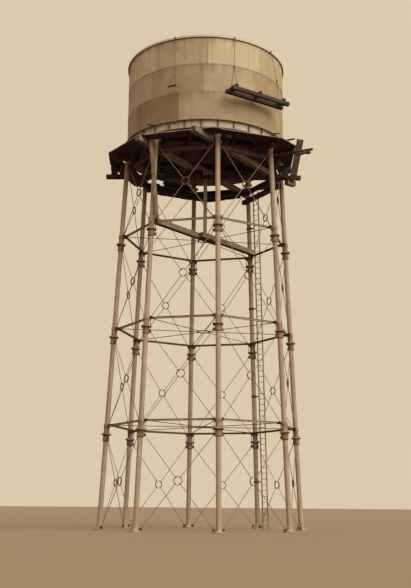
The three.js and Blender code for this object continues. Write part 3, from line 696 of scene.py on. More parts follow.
# An ear of the flange with a rounded tip
def earShape():
    root, rootHalf = column["earRoot"]
    tip, tipHalf = column["earTip"]
    half = column["earHalf"]
    corners = [Vector((root, -rootHalf, -half))]
    for turn in column["earArc"]:
        angle = math.radians(turn)
        corners.append(Vector((tip + tipHalf * math.cos(angle), tipHalf * math.sin(angle), -half)))
    corners.append(Vector((root, rootHalf, -half)))
    return plateShape(corners, (0, 0, 2 * half), column["earEdge"])


def toneByHeight(shape, bands):
    layer = shape.faces.layers.float["tone"]
    for face in shape.faces:
        height = face.calc_center_median().z
        face[layer] = next(tone for top, tone in bands if height <= top)


# Sleeve, bolted flanges, hub and socket at each joint of a column
def jointPiece():
    piece = newShape()
    for level in tower["jointLevels"]:
        place = leaning @ Matrix.Translation((0, 0, level / math.cos(rakeAngle)))
        casting = turnedShape(jointProfile, column["segments"])
        # painted shade under the flanges and a painted highlight on their top edge
        toneByHeight(casting, jointShadeTones)
        stamp(piece, casting, place)
        bolts = newShape()
        for side in (1, -1):
            seat = Vector((column["boltRing"], 0, side * column["boltSeat"]))
            addStack(bolts, seat, upward * side, column["boltStack"])
        bmesh.ops.rotate(bolts, cent=(0, 0, 0), matrix=Matrix.Rotation(sideTurn, 3, "Z"), verts=bolts.verts)
        repeatAround(bolts, column["bolts"])
        stamp(piece, bolts, place)
        for towards in (sideTurn / 2, math.pi - sideTurn / 2):
            stamp(piece, earShape(), place @ Matrix.Rotation(towards, 4, "Z"))
    return piece


finishEight("column_casting_{}", shaftPiece(), columnIron, "column_{}")
finishEight("column_joints_{}", jointPiece(), collarIron)
print("columns made")


# Bracing of the side between two columns: struts, crossed rods and what holds them

bracing = {
    "strutCentre": 0.455,
    "strutDepth": 0.1,
    "strutWidth": 0.08,
    "strutInset": 0.15,
    "strutSheet": 0.011,
    "strutEdge": 0.002,
    # painted shade: inner faces and undersides darker than the rest
    "strutShadeTones": (-2.0, -1.2, 0.3),    # inner faces, undersides and the rest
    "socketRadius": 0.158,
    "rodAbove": (0.226, 0.475),
    "rodBelow": (0.232, -0.285),
}
crossedRods = {
    "rod": 0.016,
    "ring": (0.182, 0.205, 0.032),
    "ringEdge": 0.004,
    "ringSegments": 44,
    "ringTone": -1.4,
    "tail": 0.04,
    "nut": (0.027, 0.026, 6),
    "nutEdge": 0.002,
    "boss": (0.022, 0.017, 0.03, 14),
}
bracket = {
    "band": (0.395, 0.505),
    "far": 0.262,
    "sunk": 0.02,
    "outside": 0.05,
    "seat": 0.024,
    "seatEdge": 0.005,
    "cheekHalf": 0.014,
    "cheekOutside": 0.036,
    "cheekShort": 0.012,
    "cheekEdge": 0.003,
    "gussetFoot": 0.16,
    "gussetRoot": (0.1, 0.115),
    "gussetShares": (0.0, 0.35, 0.65, 0.85, 1.0),
    "gussetFlare": 2.2,
    "gussetHalf": 0.017,
    "boltReaches": (0.186, 0.238),
    "boltStack": ((0.017, 0.014, 6, 1.0), (0.0085, 0.0084, 8, 0.9)),
}
lug = {
    "near": 0.172,
    "band": (-0.31, -0.19),
    "half": 0.032,
    "cheekHalf": 0.009,
    "sunk": 0.03,
    "web": 0.02,
    "edge": 0.004,
    "eye": (0.036, 0.013, 18),
    "pin": (0.016, 0.004),
    "head": (0.026, 0.013),
    "headTop": 0.95,
    "boltReach": 0.212,
    "bolt": 0.016,
    "boltSunk": 0.02,
    "nutHeights": (-0.056, 0.032),
    "nut": (0.028, 0.024),
    "foot": {"reach": (0.22, 0.3), "band": (0.041, 0.175)},
    "crown": {"reach": (0.142, 0.24), "band": (18.535, 18.695), "eyeShift": 0.03},
}


def levelCorner(end, inset, height):
    radius = tower["baseRadius"] - tower["rake"] * height - inset
    return ringPoint(radius, end * sideTurn, height)


# An I-section strut, mitred at the columns
def addStrut(piece, level):
    middle = level + bracing["strutCentre"]
    depth, inset, sheet = bracing["strutDepth"], bracing["strutInset"], bracing["strutSheet"]
    low = middle - depth / 2
    width = bracing["strutWidth"] / math.cos(sideTurn / 2)
    flangeBand = (inset, inset + width)
    webBand = (inset + width / 2 - sheet / 2, inset + width / 2 + sheet / 2)
    layers = (
        (flangeBand, low, sheet),
        (webBand, low + sheet, depth - 2 * sheet),
        (flangeBand, low + depth - sheet, sheet),
    )
    for (outer, inner), bottom, height in layers:
        corners = [levelCorner(0, inner, middle), levelCorner(0, outer, middle),
                   levelCorner(1, outer, middle), levelCorner(1, inner, middle)]
        for corner in corners:
            corner.z = bottom
        stamp(piece, plateShape(corners, (0, 0, height), bracing["strutEdge"]))


# A block beside a column: its reach along the side, its span inwards and its band of heights
def addBesideBlock(piece, end, reach, inwards, band, edge):
    near, far = reach
    inner, outer = inwards
    start, finish = (besideColumn(end, (near + far) / 2, (inner + outer) / 2, height) for height in band)
    addBar(piece, start, finish, far - near, inner - outer, sideAlong, edge)


# Bracket above a flange that carries the strut's end, with a flared gusset under it
def addBracket(piece, end, level):
    bottom, top = (level + height for height in bracket["band"])
    near, far = bracing["socketRadius"] - bracket["sunk"], bracket["far"]
    inner = bracing["socketRadius"] + bracing["strutWidth"] / 2
    seat, half, edge = bracket["seat"], bracket["cheekHalf"], bracket["cheekEdge"]
    cheekFar = far - bracket["cheekShort"]
    for band in ((bottom, bottom + seat), (top - seat, top)):
        addBesideBlock(piece, end, (near, far), (inner, -bracket["outside"]), band, bracket["seatEdge"])
    band = (bottom + seat, top - seat)
    for inward in (-bracket["cheekOutside"], inner - half):
        addBesideBlock(piece, end, (near, cheekFar), (inward + half, inward - half), band, edge)
    foot = level + bracket["gussetFoot"]
    back, root = bracket["gussetRoot"]
    flare = []
    for share in bracket["gussetShares"]:
        reach = root + (cheekFar - root) * share ** bracket["gussetFlare"]
        flare.append(besideColumn(end, reach, 0.0, foot + (bottom - foot) * share))
    flare.append(besideColumn(end, back, 0.0, bottom))
    push = sideOut * bracket["gussetHalf"]
    stamp(piece, plateShape([corner - push for corner in flare], push * 2, edge))
    for reach in bracket["boltReaches"]:
        point = besideColumn(end, reach, -bracket["outside"], (bottom + top) / 2)
        addStack(piece, point, sideOut, bracket["boltStack"])


# Forked lug with a pin through the rod's eye, which is a reach along the side and a height
def addLug(piece, end, reach, band, eye):
    near, far = reach
    root = near - lug["sunk"]
    half, cheek = lug["half"], lug["cheekHalf"]
    for inward in (half - cheek, cheek - half):
        addBesideBlock(piece, end, (root, far), (inward + cheek, inward - cheek), band, lug["edge"])
    web = half - 2 * cheek
    addBesideBlock(piece, end, (root, near + lug["web"]), (web, -web), band, lug["edge"] / 2)
    eyePoint = besideColumn(end, eye[0], 0, eye[1])
    eyeRadius, eyeHalf, eyeSides = lug["eye"]
    addRod(piece, eyePoint - sideOut * eyeHalf, eyePoint + sideOut * eyeHalf, eyeRadius, eyeSides,
           bevel=lug["edge"])
    pinRadius, pinProud = lug["pin"]
    pinHalf = sideOut * (half + pinProud)
    addRod(piece, eyePoint - pinHalf, eyePoint + pinHalf, pinRadius)
    for way in (1, -1):
        out = sideOut * way
        stamp(piece, headShape(eyePoint + out * half, out, *lug["head"], top=lug["headTop"]))


# Two crossed rods joined by a ring, between two ends that are each a reach and a height
def addCrossedRods(piece, lower, upper):
    starts = [besideColumn(end, lower[0], 0, lower[1]) for end in (0, 1)]
    ends = [besideColumn(end, upper[0], 0, upper[1]) for end in (0, 1)]
    lowerHalf = (starts[0] - starts[1]).length / 2
    upperHalf = (ends[0] - ends[1]).length / 2
    lowerMiddle = (starts[0] + starts[1]) / 2
    upperMiddle = (ends[0] + ends[1]) / 2
    crossing = lowerMiddle.lerp(upperMiddle, lowerHalf / (lowerHalf + upperHalf))
    upSide = (upperMiddle - lowerMiddle).normalized()
    inner, outer, half = crossedRods["ring"]
    section = chamferedSection(inner, outer, -half, half, crossedRods["ringEdge"])
    hoop = turnedShape(section, crossedRods["ringSegments"], closed=True)
    stamp(piece, hoop, aimed(crossing, sideAlong.cross(upSide), sideAlong), tone=crossedRods["ringTone"])
    nutRadius, nutLength, nutSides = crossedRods["nut"]
    bossRadius, bossTip, bossLength, bossSides = crossedRods["boss"]
    for tip in starts + ends:
        out = (tip - crossing).normalized()
        tail, nutEnd, ringIn, ringOut, bossEnd = (
            crossing + out * reach
            for reach in (inner - crossedRods["tail"], inner - nutLength, inner, outer, outer + bossLength))
        addRod(piece, tail, tip, crossedRods["rod"])
        addRod(piece, nutEnd, ringIn, nutRadius, nutSides, bevel=crossedRods["nutEdge"])
        addRod(piece, ringOut, bossEnd, bossRadius, bossSides, bossTip)


def rodPiece():
    piece = newShape()
    lowReach, lowHeight = bracing["rodAbove"]
    highReach, highHeight = bracing["rodBelow"]
    lower = (lowReach, lug["foot"]["band"][1] - lug["half"])
    for level in tower["jointLevels"]:
        addCrossedRods(piece, lower, (highReach, level + highHeight))
        lower = (lowReach, level + lowHeight)
    addCrossedRods(piece, lower, (highReach, lug["crown"]["band"][0] + lug["half"]))
    return piece


# Struts, with painted shade on their inner faces and undersides
def strutPiece():
    piece = newShape()
    for level in tower["jointLevels"]:
        addStrut(piece, level)
    piece.normal_update()
    layer = piece.faces.layers.float["tone"]
    inner, under, rest = bracing["strutShadeTones"]
    for face in piece.faces:
        facesIn = face.normal.dot(sideOut) < -0.5
        facesDown = face.normal.z < -0.5
        face[layer] = inner if facesIn else under if facesDown else rest
    return piece


def fittingPiece():
    piece = newShape()
    foot, crown = lug["foot"], lug["crown"]
    lowReach, (highReach, highHeight) = bracing["rodAbove"][0], bracing["rodBelow"]
    for end in (0, 1):
        addLug(piece, end, foot["reach"], foot["band"], (lowReach, foot["band"][1] - lug["half"]))
    for level in tower["jointLevels"]:
        band = [level + height for height in lug["band"]]
        for end in (0, 1):
            addBracket(piece, end, level)
            addLug(piece, end, (lug["near"], bracket["far"]), band, (highReach, level + highHeight))
            boltTop = besideColumn(end, lug["boltReach"], 0, level + bracket["band"][0])
            boltFoot = besideColumn(end, lug["boltReach"], 0, band[1] - lug["boltSunk"])
            addRod(piece, boltFoot, boltTop, lug["bolt"])
            for nutHeight in lug["nutHeights"]:
                nut = besideColumn(end, lug["boltReach"], 0, level + nutHeight)
                stamp(piece, headShape(nut, upward, *lug["nut"], top=1.0))
    for end in (0, 1):
        eye = (highReach - crown["eyeShift"], crown["band"][0] + lug["half"])
        addLug(piece, end, crown["reach"], crown["band"], eye)
    return piece


finishEight("bracing_rods_{}", rodPiece(), rodIron, "bracing_side_{}")
finishEight("bracing_struts_{}", strutPiece(), strutIron)
finishEight("bracing_fittings_{}", fittingPiece(), shadedJointIron)
print("bracing made")


# Level rods from the strut corners to a ring on the axis

planRods = {
    "ring": 0.33,
    "ringSegments": 48,
    "tube": 0.026,
    "tubeSides": 10,
    "rod": 0.017,
    "rodStart": 0.06,
    "nut": 0.034,
    "nutLength": 0.036,
    "washer": 0.05,
    "washerSpan": (0.014, 0.002),
    "rodEnd": 0.005,
}


def planPiece(level):
    piece = newShape()
    height = level + bracing["strutCentre"]
    width = bracing["strutWidth"] / math.cos(sideTurn / 2)
    reach = tower["baseRadius"] - tower["rake"] * height - bracing["strutInset"] - width
    ring, tube, nut = planRods["ring"], planRods["tube"], planRods["nut"]
    turns = [index * math.tau / planRods["tubeSides"] for index in range(planRods["tubeSides"])]
    circle = [(ring + tube * math.cos(turn), tube * math.sin(turn)) for turn in turns]
    hoop = turnedShape(circle, planRods["ringSegments"], closed=True)
    stamp(piece, hoop, Matrix.Translation((0, 0, height)))
    washerIn, washerOut = (reach - shift for shift in planRods["washerSpan"])
    spoke = newShape()
    for near, far, radius, sides in (
        (ring - planRods["rodStart"], reach - planRods["rodEnd"], planRods["rod"], 12),
        (ring - tube - planRods["nutLength"], ring - tube, nut, 6),
        (washerIn - planRods["nutLength"], washerIn, nut, 6),
        (washerIn, washerOut, planRods["washer"], 20),
    ):
        addRod(spoke, ringPoint(near, 0, height), ringPoint(far, 0, height), radius, sides)
    repeatAround(spoke, tower["columns"])
    stamp(piece, spoke)
    return piece


for number, jointLevel in enumerate(tower["jointLevels"], 1):
    finishPiece(f"plan_rods_{number}", planPiece(jointLevel), bracingIron,
                [f"plan_bracing_{number}"])


# Octagonal head beam of I-section, with bolted splice plates at the corners
headBeam = {
    "bottom": 18.42,
    "top": 18.7,
    "width": 0.13,
    "flange": 0.016,
    "web": 0.012,
    "splice": (0.3, 0.2, 0.01),
    "spliceShift": 0.17,
    "spliceEdge": 0.002,
    "rivetSteps": (-0.1, 0.0, 0.1),
    "rivetRises": (-0.06, 0.06),
}


def headBeamPiece():
    piece = newShape()
    outer = tower["baseRadius"] - tower["rake"] * headBeam["top"] - tower["shaftRadius"] - hairGap
    width = headBeam["width"] / math.cos(sideTurn / 2)
    inner = outer - width
    webOut, webIn = ((inner + outer + way * headBeam["web"]) / 2 for way in (1, -1))
    low, high, skin = headBeam["bottom"], headBeam["top"], headBeam["flange"]
    section = [(outer, low), (outer, low + skin), (webOut, low + skin), (webOut, high - skin),
               (outer, high - skin), (outer, high), (inner, high), (inner, high - skin), (webIn, high - skin),
               (webIn, low + skin), (inner, low + skin), (inner, low)]
    ring = turnedShape(section, tower["columns"], closed=True)
    bmesh.ops.rotate(ring, cent=(0, 0, 0), matrix=Matrix.Rotation(-math.pi / 2, 3, "Z"), verts=ring.verts)
    stamp(piece, ring)
    plates = newShape()
    webFace = (outer - width / 2) * math.cos(sideTurn / 2) + headBeam["web"] / 2
    middle = ringPoint(webFace / math.cos(sideTurn / 2), 0, (low + high) / 2)
    length, depth, thickness = headBeam["splice"]
    for direction in (1, -1):
        along = ringPoint(1, direction * (math.pi / 2 + sideTurn / 2), 0)
        out = ringPoint(1, direction * sideTurn / 2, 0)
        centre = middle + along * headBeam["spliceShift"] + out * thickness / 2
        start, end = (centre + along * way * length / 2 for way in (-1, 1))
        addBar(plates, start, end, depth, thickness, bevel=headBeam["spliceEdge"])
        for step in headBeam["rivetSteps"]:
            for rise in headBeam["rivetRises"]:
                stamp(plates, rivetAt(centre + along * step + upward * rise + out * thickness / 2, out))
    repeatAround(plates, tower["columns"])
    stamp(piece, plates)
    return piece


finishPiece("head_beam", headBeamPiece(), bracingIron, ["head_ring_beam"])
print("plan bracing and head beam made")


# Tank

tank = {
    "plate": 0.01,
    "plateSkin": 0.0005,
    "plateLean": 0.8,    # how far a plate slants under its neighbour, as a share of its thickness
    "seamLap": 0.04,
    "lapWidth": 0.08,
    "arcSteps": 14,
    "rivetPitch": 0.075,
    "seamRows": (-0.018, 0.018),
    "seamProud": 0.001,
    "lapRows": (-0.022, 0.022),
    "lapRivets": 18,
    "lapMargin": 0.11,
    "lapProud": 0.003,
}


def turnFrom(point, start):
    return (math.atan2(point.x, -point.y) - start + math.pi) % math.tau - math.pi


# Lays a plate out flat, in metres from its first edge and from the foot of its course
def layPlateMap(shape, start, bottom):
    layer = shape.loops.layers.uv["grain"]
    for face in shape.faces:
        for corner in face.loops:
            co = corner.vert.co
            corner[layer].uv = (turnFrom(co, start) * tower["tankRadius"], co.z - bottom)


# A curved plate, slanted so that its ends lie over and under its neighbours
def wallPlate(profile, start, bottom):
    lapTurn = tank["lapWidth"] / tower["tankRadius"]
    shape = arcShape(profile, start - lapTurn / 2, plateTurn + lapTurn, tank["arcSteps"])
    layPlateMap(shape, start, bottom)
    for vert in shape.verts:
        out = Vector((vert.co.x, vert.co.y, 0)).normalized()
        share = turnFrom(vert.co, start) / plateTurn
        vert.co -= out * tank["plate"] * tank["plateLean"] * (0.5 - share)
    return shape


# Upright rows of rivets at the plates' ends; side is 1 outside the wall and -1 inside it
def addLapRivets(piece, radius, firstTurn, bottom, side):
    rows = newShape()
    pitch = (tower["courseHeight"] - 2 * tank["lapMargin"]) / (tank["lapRivets"] - 1)
    for shift in tank["lapRows"]:
        point = ringPoint(radius, firstTurn + shift / tower["tankRadius"], bottom + tank["lapMargin"])
        row = rivetAt(point, ringPoint(side, firstTurn, 0))
        repeatAlong(row, tank["lapRivets"], (0, 0, pitch))
        stamp(rows, row)
    repeatAround(rows, plateSeams["plates"])
    stamp(piece, rows)


def tankPiece():
    piece = newShape()
    thickness, spread = tank["plate"], plateSeams["toneSpread"]
    lastCourse = tower["courses"] - 1
    for course in range(tower["courses"]):
        outer = tower["tankRadius"] - (thickness if course % 2 else 0)
        bottom = tower["tankBottom"] + course * tower["courseHeight"]
        top = bottom + tower["courseHeight"]
        lowEdge = bottom - tank["seamLap"] if course else bottom + thickness
        highEdge = top + tank["seamLap"] if course < lastCourse else top - rim["thickness"]
        profile = boxSection(outer - thickness, outer - tank["plateSkin"], lowEdge, highEdge)
        firstTurn = plateSeams["starts"][course]
        for plate in range(plateSeams["plates"]):
            tone = plateSeams["courseTones"][course]
            if (course, plate) in plateSeams["darkerPlates"]:
                tone += plateSeams["darkerPlateTone"]
            shape = wallPlate(profile, firstTurn + plate * plateTurn, bottom)
            stamp(piece, shape, tone=tone + dice.uniform(-spread, spread))
        for side, face in ((1, outer + tank["lapProud"]), (-1, outer - thickness - tank["lapProud"])):
            addLapRivets(piece, face, firstTurn, bottom, side)
    count = round(math.tau * tower["tankRadius"] / tank["rivetPitch"])
    outside = tower["tankRadius"] + tank["seamProud"]
    inside = tower["tankRadius"] - 2 * thickness - tank["seamProud"]
    for seam in range(1, tower["courses"]):
        height = tower["tankBottom"] + seam * tower["courseHeight"]
        for rise in tank["seamRows"]:
            addRivetRing(piece, outside, height + rise, count)
            addRivetRing(piece, inside, height + rise, count, -1)
    return piece


# Angle round the rim with a turned-down lip, and angle round the foot, riveted to the plates
rim = {
    "reach": 0.076,
    "thickness": 0.014,
    "depth": 0.09,
    "lip": (0.03, 0.1, 0.01),
    # painted highlight: the lip is lightened so it reads as a lit band
    "lipHighlight": 0.5,
    "cap": (4.166, 4.191, 0.0135),
    "footThickness": 0.012,
    "footDepth": 0.08,
    "tone": -0.3,
    "segments": 120,
    "rivetPitch": 0.1,
    "rimRivets": 0.052,
    "footRivets": 0.058,
    "flatRivets": 0.05,
}


def rimPiece():
    piece = newShape()
    wall, footTop = tower["tankRadius"], tower["tankBottom"] + tank["plate"]
    heel, outer = wall + tank["plateSkin"], wall + rim["reach"]
    lipWidth, lipDepth, lipEdge = rim["lip"]
    capInner, capOuter, capDepth = rim["cap"]
    for section, tone in (
        (angleSection(heel, rimTop, outer - heel, -rim["depth"], rim["thickness"]), rim["tone"]),
        (angleSection(heel, footTop, outer - heel, rim["footDepth"], rim["footThickness"]), rim["tone"]),
        (chamferedSection(outer - lipWidth, outer, rimTop - lipDepth, rimTop, lipEdge), rim["lipHighlight"]),
        (boxSection(capInner, capOuter, rimTop - capDepth, rimTop), rim["tone"]),
    ):
        stamp(piece, turnedShape(section, rim["segments"], closed=True), tone=tone)
    count = round(math.tau * wall / rim["rivetPitch"])
    addRivetRing(piece, wall + rim["thickness"], rimTop - rim["rimRivets"], count)
    addRivetRing(piece, wall + rim["footThickness"], tower["tankBottom"] + rim["footRivets"], count)
    addFlatRivetRing(piece, wall + rim["flatRivets"], footTop + rim["footThickness"], count)
    return piece


finishPiece("tank_plates", tankPiece(), tankIron, [f"tank_wall_{n}" for n in range(1, 9)])
finishPiece("rim_angles", rimPiece(), girderIron)


# Floor of the tank: one disc with lapped straps and rivets over its seams
floorPlates = {
    "inner": 4.15,
    "strap": 0.14,
    "strapThickness": 0.008,
    "strapEdge": 0.001,
    "pitch": 1.4,
    "toneSpread": 0.5,
    "rivetPitch": 0.1,
    "rivetRows": (-0.035, 0.035),
    "rivetMargin": 0.05,
    "crossOffset": 0.9,
    "crossShifts": (-2.1, 0.0, 2.1),
    "crossRivets": 12,
}


# A strap over a seam, with two rows of rivets
def addStrap(piece, start, end, count):
    spread, margin = floorPlates["toneSpread"], floorPlates["rivetMargin"]
    along = (end - start).normalized()
    aside = along.cross(upward)
    thickness = floorPlates["strapThickness"]
    addBar(piece, start, end, thickness, floorPlates["strap"], bevel=floorPlates["strapEdge"],
           tone=dice.uniform(-spread, spread))
    lift = upward * thickness / 2
    stride = along * ((end - start).length - 2 * margin) / (count - 1)
    for shift in floorPlates["rivetRows"]:
        row = rivetAt(start + along * margin + aside * shift + lift, upward)
        repeatAlong(row, count, stride)
        stamp(piece, row)


def floorPiece():
    piece = newShape()
    low, high = tower["tankBottom"], tower["tankBottom"] + tank["plate"]
    radius = tower["tankRadius"] + rim["reach"]
    stamp(piece, turnedShape([(0, low), (radius, low), (radius, high), (0, high)], rim["segments"]))
    middle = high + floorPlates["strapThickness"] / 2
    for index in range(-2, 4):
        x = (index - 0.5) * floorPlates["pitch"]
        reach = math.sqrt(floorPlates["inner"] ** 2 - (abs(x) + floorPlates["strap"] / 2) ** 2)
        count = int(2 * reach / floorPlates["rivetPitch"])
        addStrap(piece, Vector((x, -reach, middle)), Vector((x, reach, middle)), count)
    half = (floorPlates["pitch"] - floorPlates["strap"]) / 2
    for lane in range(-2, 3):
        x = lane * floorPlates["pitch"]
        y = floorPlates["crossOffset"] if lane % 2 else -floorPlates["crossOffset"]
        for shift in floorPlates["crossShifts"]:
            start, end = (Vector((x + way * half, y + shift, middle)) for way in (-1, 1))
            addStrap(piece, start, end, floorPlates["crossRivets"])
    return piece


finishPiece("tank_floor_plates", floorPiece(), floorIron, ["tank_floor"])
print("tank made")


# Ring girder under the tank

girder = {
    "bottom": 19.37,
    "web": 0.012,
    "flangeOut": 0.15,
    "flangeLow": 0.11,
    "skin": 0.026,
    "angle": 0.075,
    "angleThickness": 0.01,
    "segments": 128,
    # web, flanges and angles in turn: the flanges darkened as painted shade, the top flange most
    "ringShadeTones": (0.1, -0.5, -0.9, -0.1, -0.1, -0.3),
    "rivetPitch": 0.11,
    "rivetShare": 0.62,    # along an angle's leg
    "flangeRivets": 0.04,
}
# Stiffeners: a web plate on edge and an angle leg against the girder
stiffener = {
    "count": 32,
    "clear": 0.01,
    "web": (0.012, 0.096, -1.3),    # width, depth and tone
    "leg": (0.09, 0.012, -0.8),
    "edge": 0.002,
    "rivetRows": (-0.03, 0.03),
    "rivets": 4,
    "rivetMargin": 0.09,
}
# Stools over the column caps: top and bottom plate with ribs between
stool = {
    "width": 0.3,
    "depth": 0.33,
    "plate": 0.024,
    "plateEdge": 0.003,
    "ribs": (-0.09, 0.09),
    "rib": 0.02,
    "ribShort": 0.05,
    "crossRib": 0.24,
    "edge": 0.002,
    "tone": -0.3,
    "boltMargin": 0.035,
    "boltDepths": (-0.12, 0.12),
    "boltStack": ((0.02, 0.02, 6, 1.0),),
}


def addGirderRings(piece, radius, low, high):
    web, skin, leg, sheet = girder["web"], girder["skin"], girder["angle"], girder["angleThickness"]
    inner, below, above = radius - web, low + skin, high - skin
    sections = (
        boxSection(inner, radius, low, high),
        boxSection(inner - girder["flangeLow"], radius + girder["flangeLow"], low, below),
        boxSection(inner, radius + girder["flangeOut"], above, high),
        angleSection(radius, below, leg, leg, sheet),
        angleSection(radius, above, leg, -leg, sheet),
        angleSection(inner, below, -leg, leg, sheet),
    )
    for section, tone in zip(sections, girder["ringShadeTones"]):
        stamp(piece, turnedShape(section, girder["segments"], closed=True), tone=tone)
    count = round(math.tau * radius / girder["rivetPitch"])
    along = leg * girder["rivetShare"]
    for height in (below + along, above - along):
        addRivetRing(piece, radius + sheet, height, count)
    addRivetRing(piece, inner - sheet, below + along, count, -1)
    addFlatRivetRing(piece, radius + along, low, count, -1)
    addFlatRivetRing(piece, radius + girder["flangeOut"] - girder["flangeRivets"], above, count // 2, -1)


def stiffenerShape(radius, foot, head):
    rib = newShape()
    webReach, legReach = radius + stiffener["web"][1] / 2, radius + stiffener["leg"][1] / 2
    for reach, (width, depth, tone) in ((webReach, stiffener["web"]), (legReach, stiffener["leg"])):
        addBar(rib, ringPoint(reach, 0, foot), ringPoint(reach, 0, head), width, depth, rightward,
               stiffener["edge"], tone)
    face, margin = -radius - stiffener["leg"][1], stiffener["rivetMargin"]
    pitch = (head - foot - 2 * margin) / (stiffener["rivets"] - 1)
    for x in stiffener["rivetRows"]:
        row = rivetAt(Vector((x, face, foot + margin)), ringPoint(1, 0, 0))
        repeatAlong(row, stiffener["rivets"], (0, 0, pitch))
        stamp(rib, row)
    repeatAround(rib, stiffener["count"])
    return rib


def stoolShape(radius, low):
    shape = newShape()
    capTop, plate = tower["capTop"] + hairGap, stool["plate"]
    ribFoot, ribHead = capTop + stool["rib"], low - stool["rib"]
    for base in (capTop, low - plate):
        addBar(shape, ringPoint(radius, 0, base), ringPoint(radius, 0, base + plate), stool["width"],
               stool["depth"], rightward, stool["plateEdge"], stool["tone"])
    ribs = [(x, stool["rib"], stool["depth"] - stool["ribShort"]) for x in stool["ribs"]]
    for x, width, depth in (*ribs, (0, stool["crossRib"], stool["rib"])):
        addBar(shape, Vector((x, -radius, ribFoot)), Vector((x, -radius, ribHead)), width, depth, rightward,
               stool["edge"], stool["tone"])
    boltReach = stool["width"] / 2 - stool["boltMargin"]
    for x in (-boltReach, boltReach):
        for y in stool["boltDepths"]:
            addStack(shape, Vector((x, y - radius, capTop + plate)), upward, stool["boltStack"])
    repeatAround(shape, tower["columns"])
    return shape


def girderPiece():
    piece = newShape()
    radius = tower["tankRadius"]
    low, high = girder["bottom"], tower["tankBottom"] - hairGap
    inset = girder["skin"] + stiffener["clear"]
    addGirderRings(piece, radius, low, high)
    stamp(piece, stiffenerShape(radius, low + inset, high - inset))
    stamp(piece, stoolShape(radius, low))
    return piece


finishPiece("ring_girder", girderPiece(), girderIron, ["tank_ring_girder"])


# Floor beams of I-section between the girder's webs
floorBeams = {
    "spacing": 1.15,
    "count": 7,
    "ties": (-1.9, 1.9),
    "width": 0.11,
    "depth": 0.3,
    "skin": 0.015,
    "web": 0.012,
    "clear": 4.143,
    "edge": 0.001,
}


def addFloorBeam(piece, start, end):
    top = tower["tankBottom"] - hairGap
    width, depth, skin = floorBeams["width"], floorBeams["depth"], floorBeams["skin"]
    side = (end - start).normalized().cross(upward)
    for across, height, middle in (
        (width, skin, top - skin / 2),
        (floorBeams["web"], depth - 2 * skin, top - depth / 2),
        (width, skin, top - depth + skin / 2),
    ):
        lift = upward * middle
        addBar(piece, start + lift, end + lift, across, height, side, floorBeams["edge"])


# Half the length of a beam this far from the tower's axis
def beamReach(offset):
    return math.sqrt(floorBeams["clear"] ** 2 - (abs(offset) + floorBeams["width"] / 2) ** 2)


def floorBeamPiece():
    piece = newShape()
    for index in range(floorBeams["count"]):
        x = (index - (floorBeams["count"] - 1) / 2) * floorBeams["spacing"]
        addFloorBeam(piece, Vector((x, -beamReach(x), 0)), Vector((x, beamReach(x), 0)))
    for y in floorBeams["ties"]:
        addFloorBeam(piece, Vector((-beamReach(y), y, 0)), Vector((beamReach(y), y, 0)))
    return piece


finishPiece("floor_beams", floorBeamPiece(), bracingIron, ["tank_floor_beams"])
print("girder and floor beams made")


# Timber

# Grain scales and shares that all sawn and round timber has
timber = {
    "mapSpread": 40,
    "endTone": -0.9,
    "endFace": 0.7,    # least share of the long direction in an end's normal
    "underFace": -0.6,
    "longEdge": 0.98,
    "square": 0.05,
    "endRings": 12,
    "sideShift": 2,
    "lumpScale": 2.3,
    "seedSpread": 90,
    "cutEvery": 0.35,
    "beam": (0.012, 0.0035),    # rounding of the edges and unevenness of the faces
    "board": (0.005, 0.002),
    "newEdge": 0.008,
    "newUnevenness": 0.002,
    "toneSpread": 0.3,
    # painted shade on the undersides of these timbers
    "underShade": {"diagonal_timber_near": -1.3, "diagonal_timber_far": -1.3},
}


# Lays the grain map along a shape's local Z, with coarse rings on its ends, which take a tone of their own
def layGrain(shape, endTone=timber["endTone"]):
    shape.normal_update()
    layer = shape.loops.layers.uv["grain"]
    toneLayer = shape.faces.layers.float["tone"]
    startU, startV = dice.uniform(0, timber["mapSpread"]), dice.uniform(0, timber["mapSpread"])
    for face in shape.faces:
        across = face.normal
        isEnd = abs(across.z) > timber["endFace"]
        if isEnd:
            face[toneLayer] += endTone
        for corner in face.loops:
            co = corner.vert.co
            if isEnd:
                corner[layer].uv = (startU + co.x * timber["endRings"], startV + co.y)
            elif abs(across.x) > abs(across.y):
                corner[layer].uv = (startU + co.z, startV + co.y + timber["sideShift"])
            else:
                corner[layer].uv = (startU + co.z, startV + co.x)


# The long direction of a closed shape and a face direction square to it
def localFrame(shape):
    longest = max(shape.edges, key=lambda edge: edge.calc_length())
    along = (longest.verts[1].co - longest.verts[0].co).normalized()
    if along.z < -weldReach or (abs(along.z) < weldReach and along.x < 0):
        along.negate()
    square = [face for face in shape.faces if abs(face.normal.dot(along)) < timber["square"]]
    side = max(square, key=lambda face: face.calc_area()).normal
    centre = sum((vert.co for vert in shape.verts), Vector()) / len(shape.verts)
    return aimed(centre, along, side)


def settle(shape, place):
    shape.transform(place.inverted())
    shape.normal_update()


# A solid of the frame as a bmesh, with its flat faces whole again
def mergedCopy(nodeName):
    shape = newShape()
    shape.from_mesh(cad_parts[nodeName].data)
    bmesh.ops.remove_doubles(shape, verts=shape.verts, dist=weldReach)
    bmesh.ops.dissolve_limit(shape, angle_limit=math.radians(1), verts=shape.verts, edges=shape.edges)
    return shape


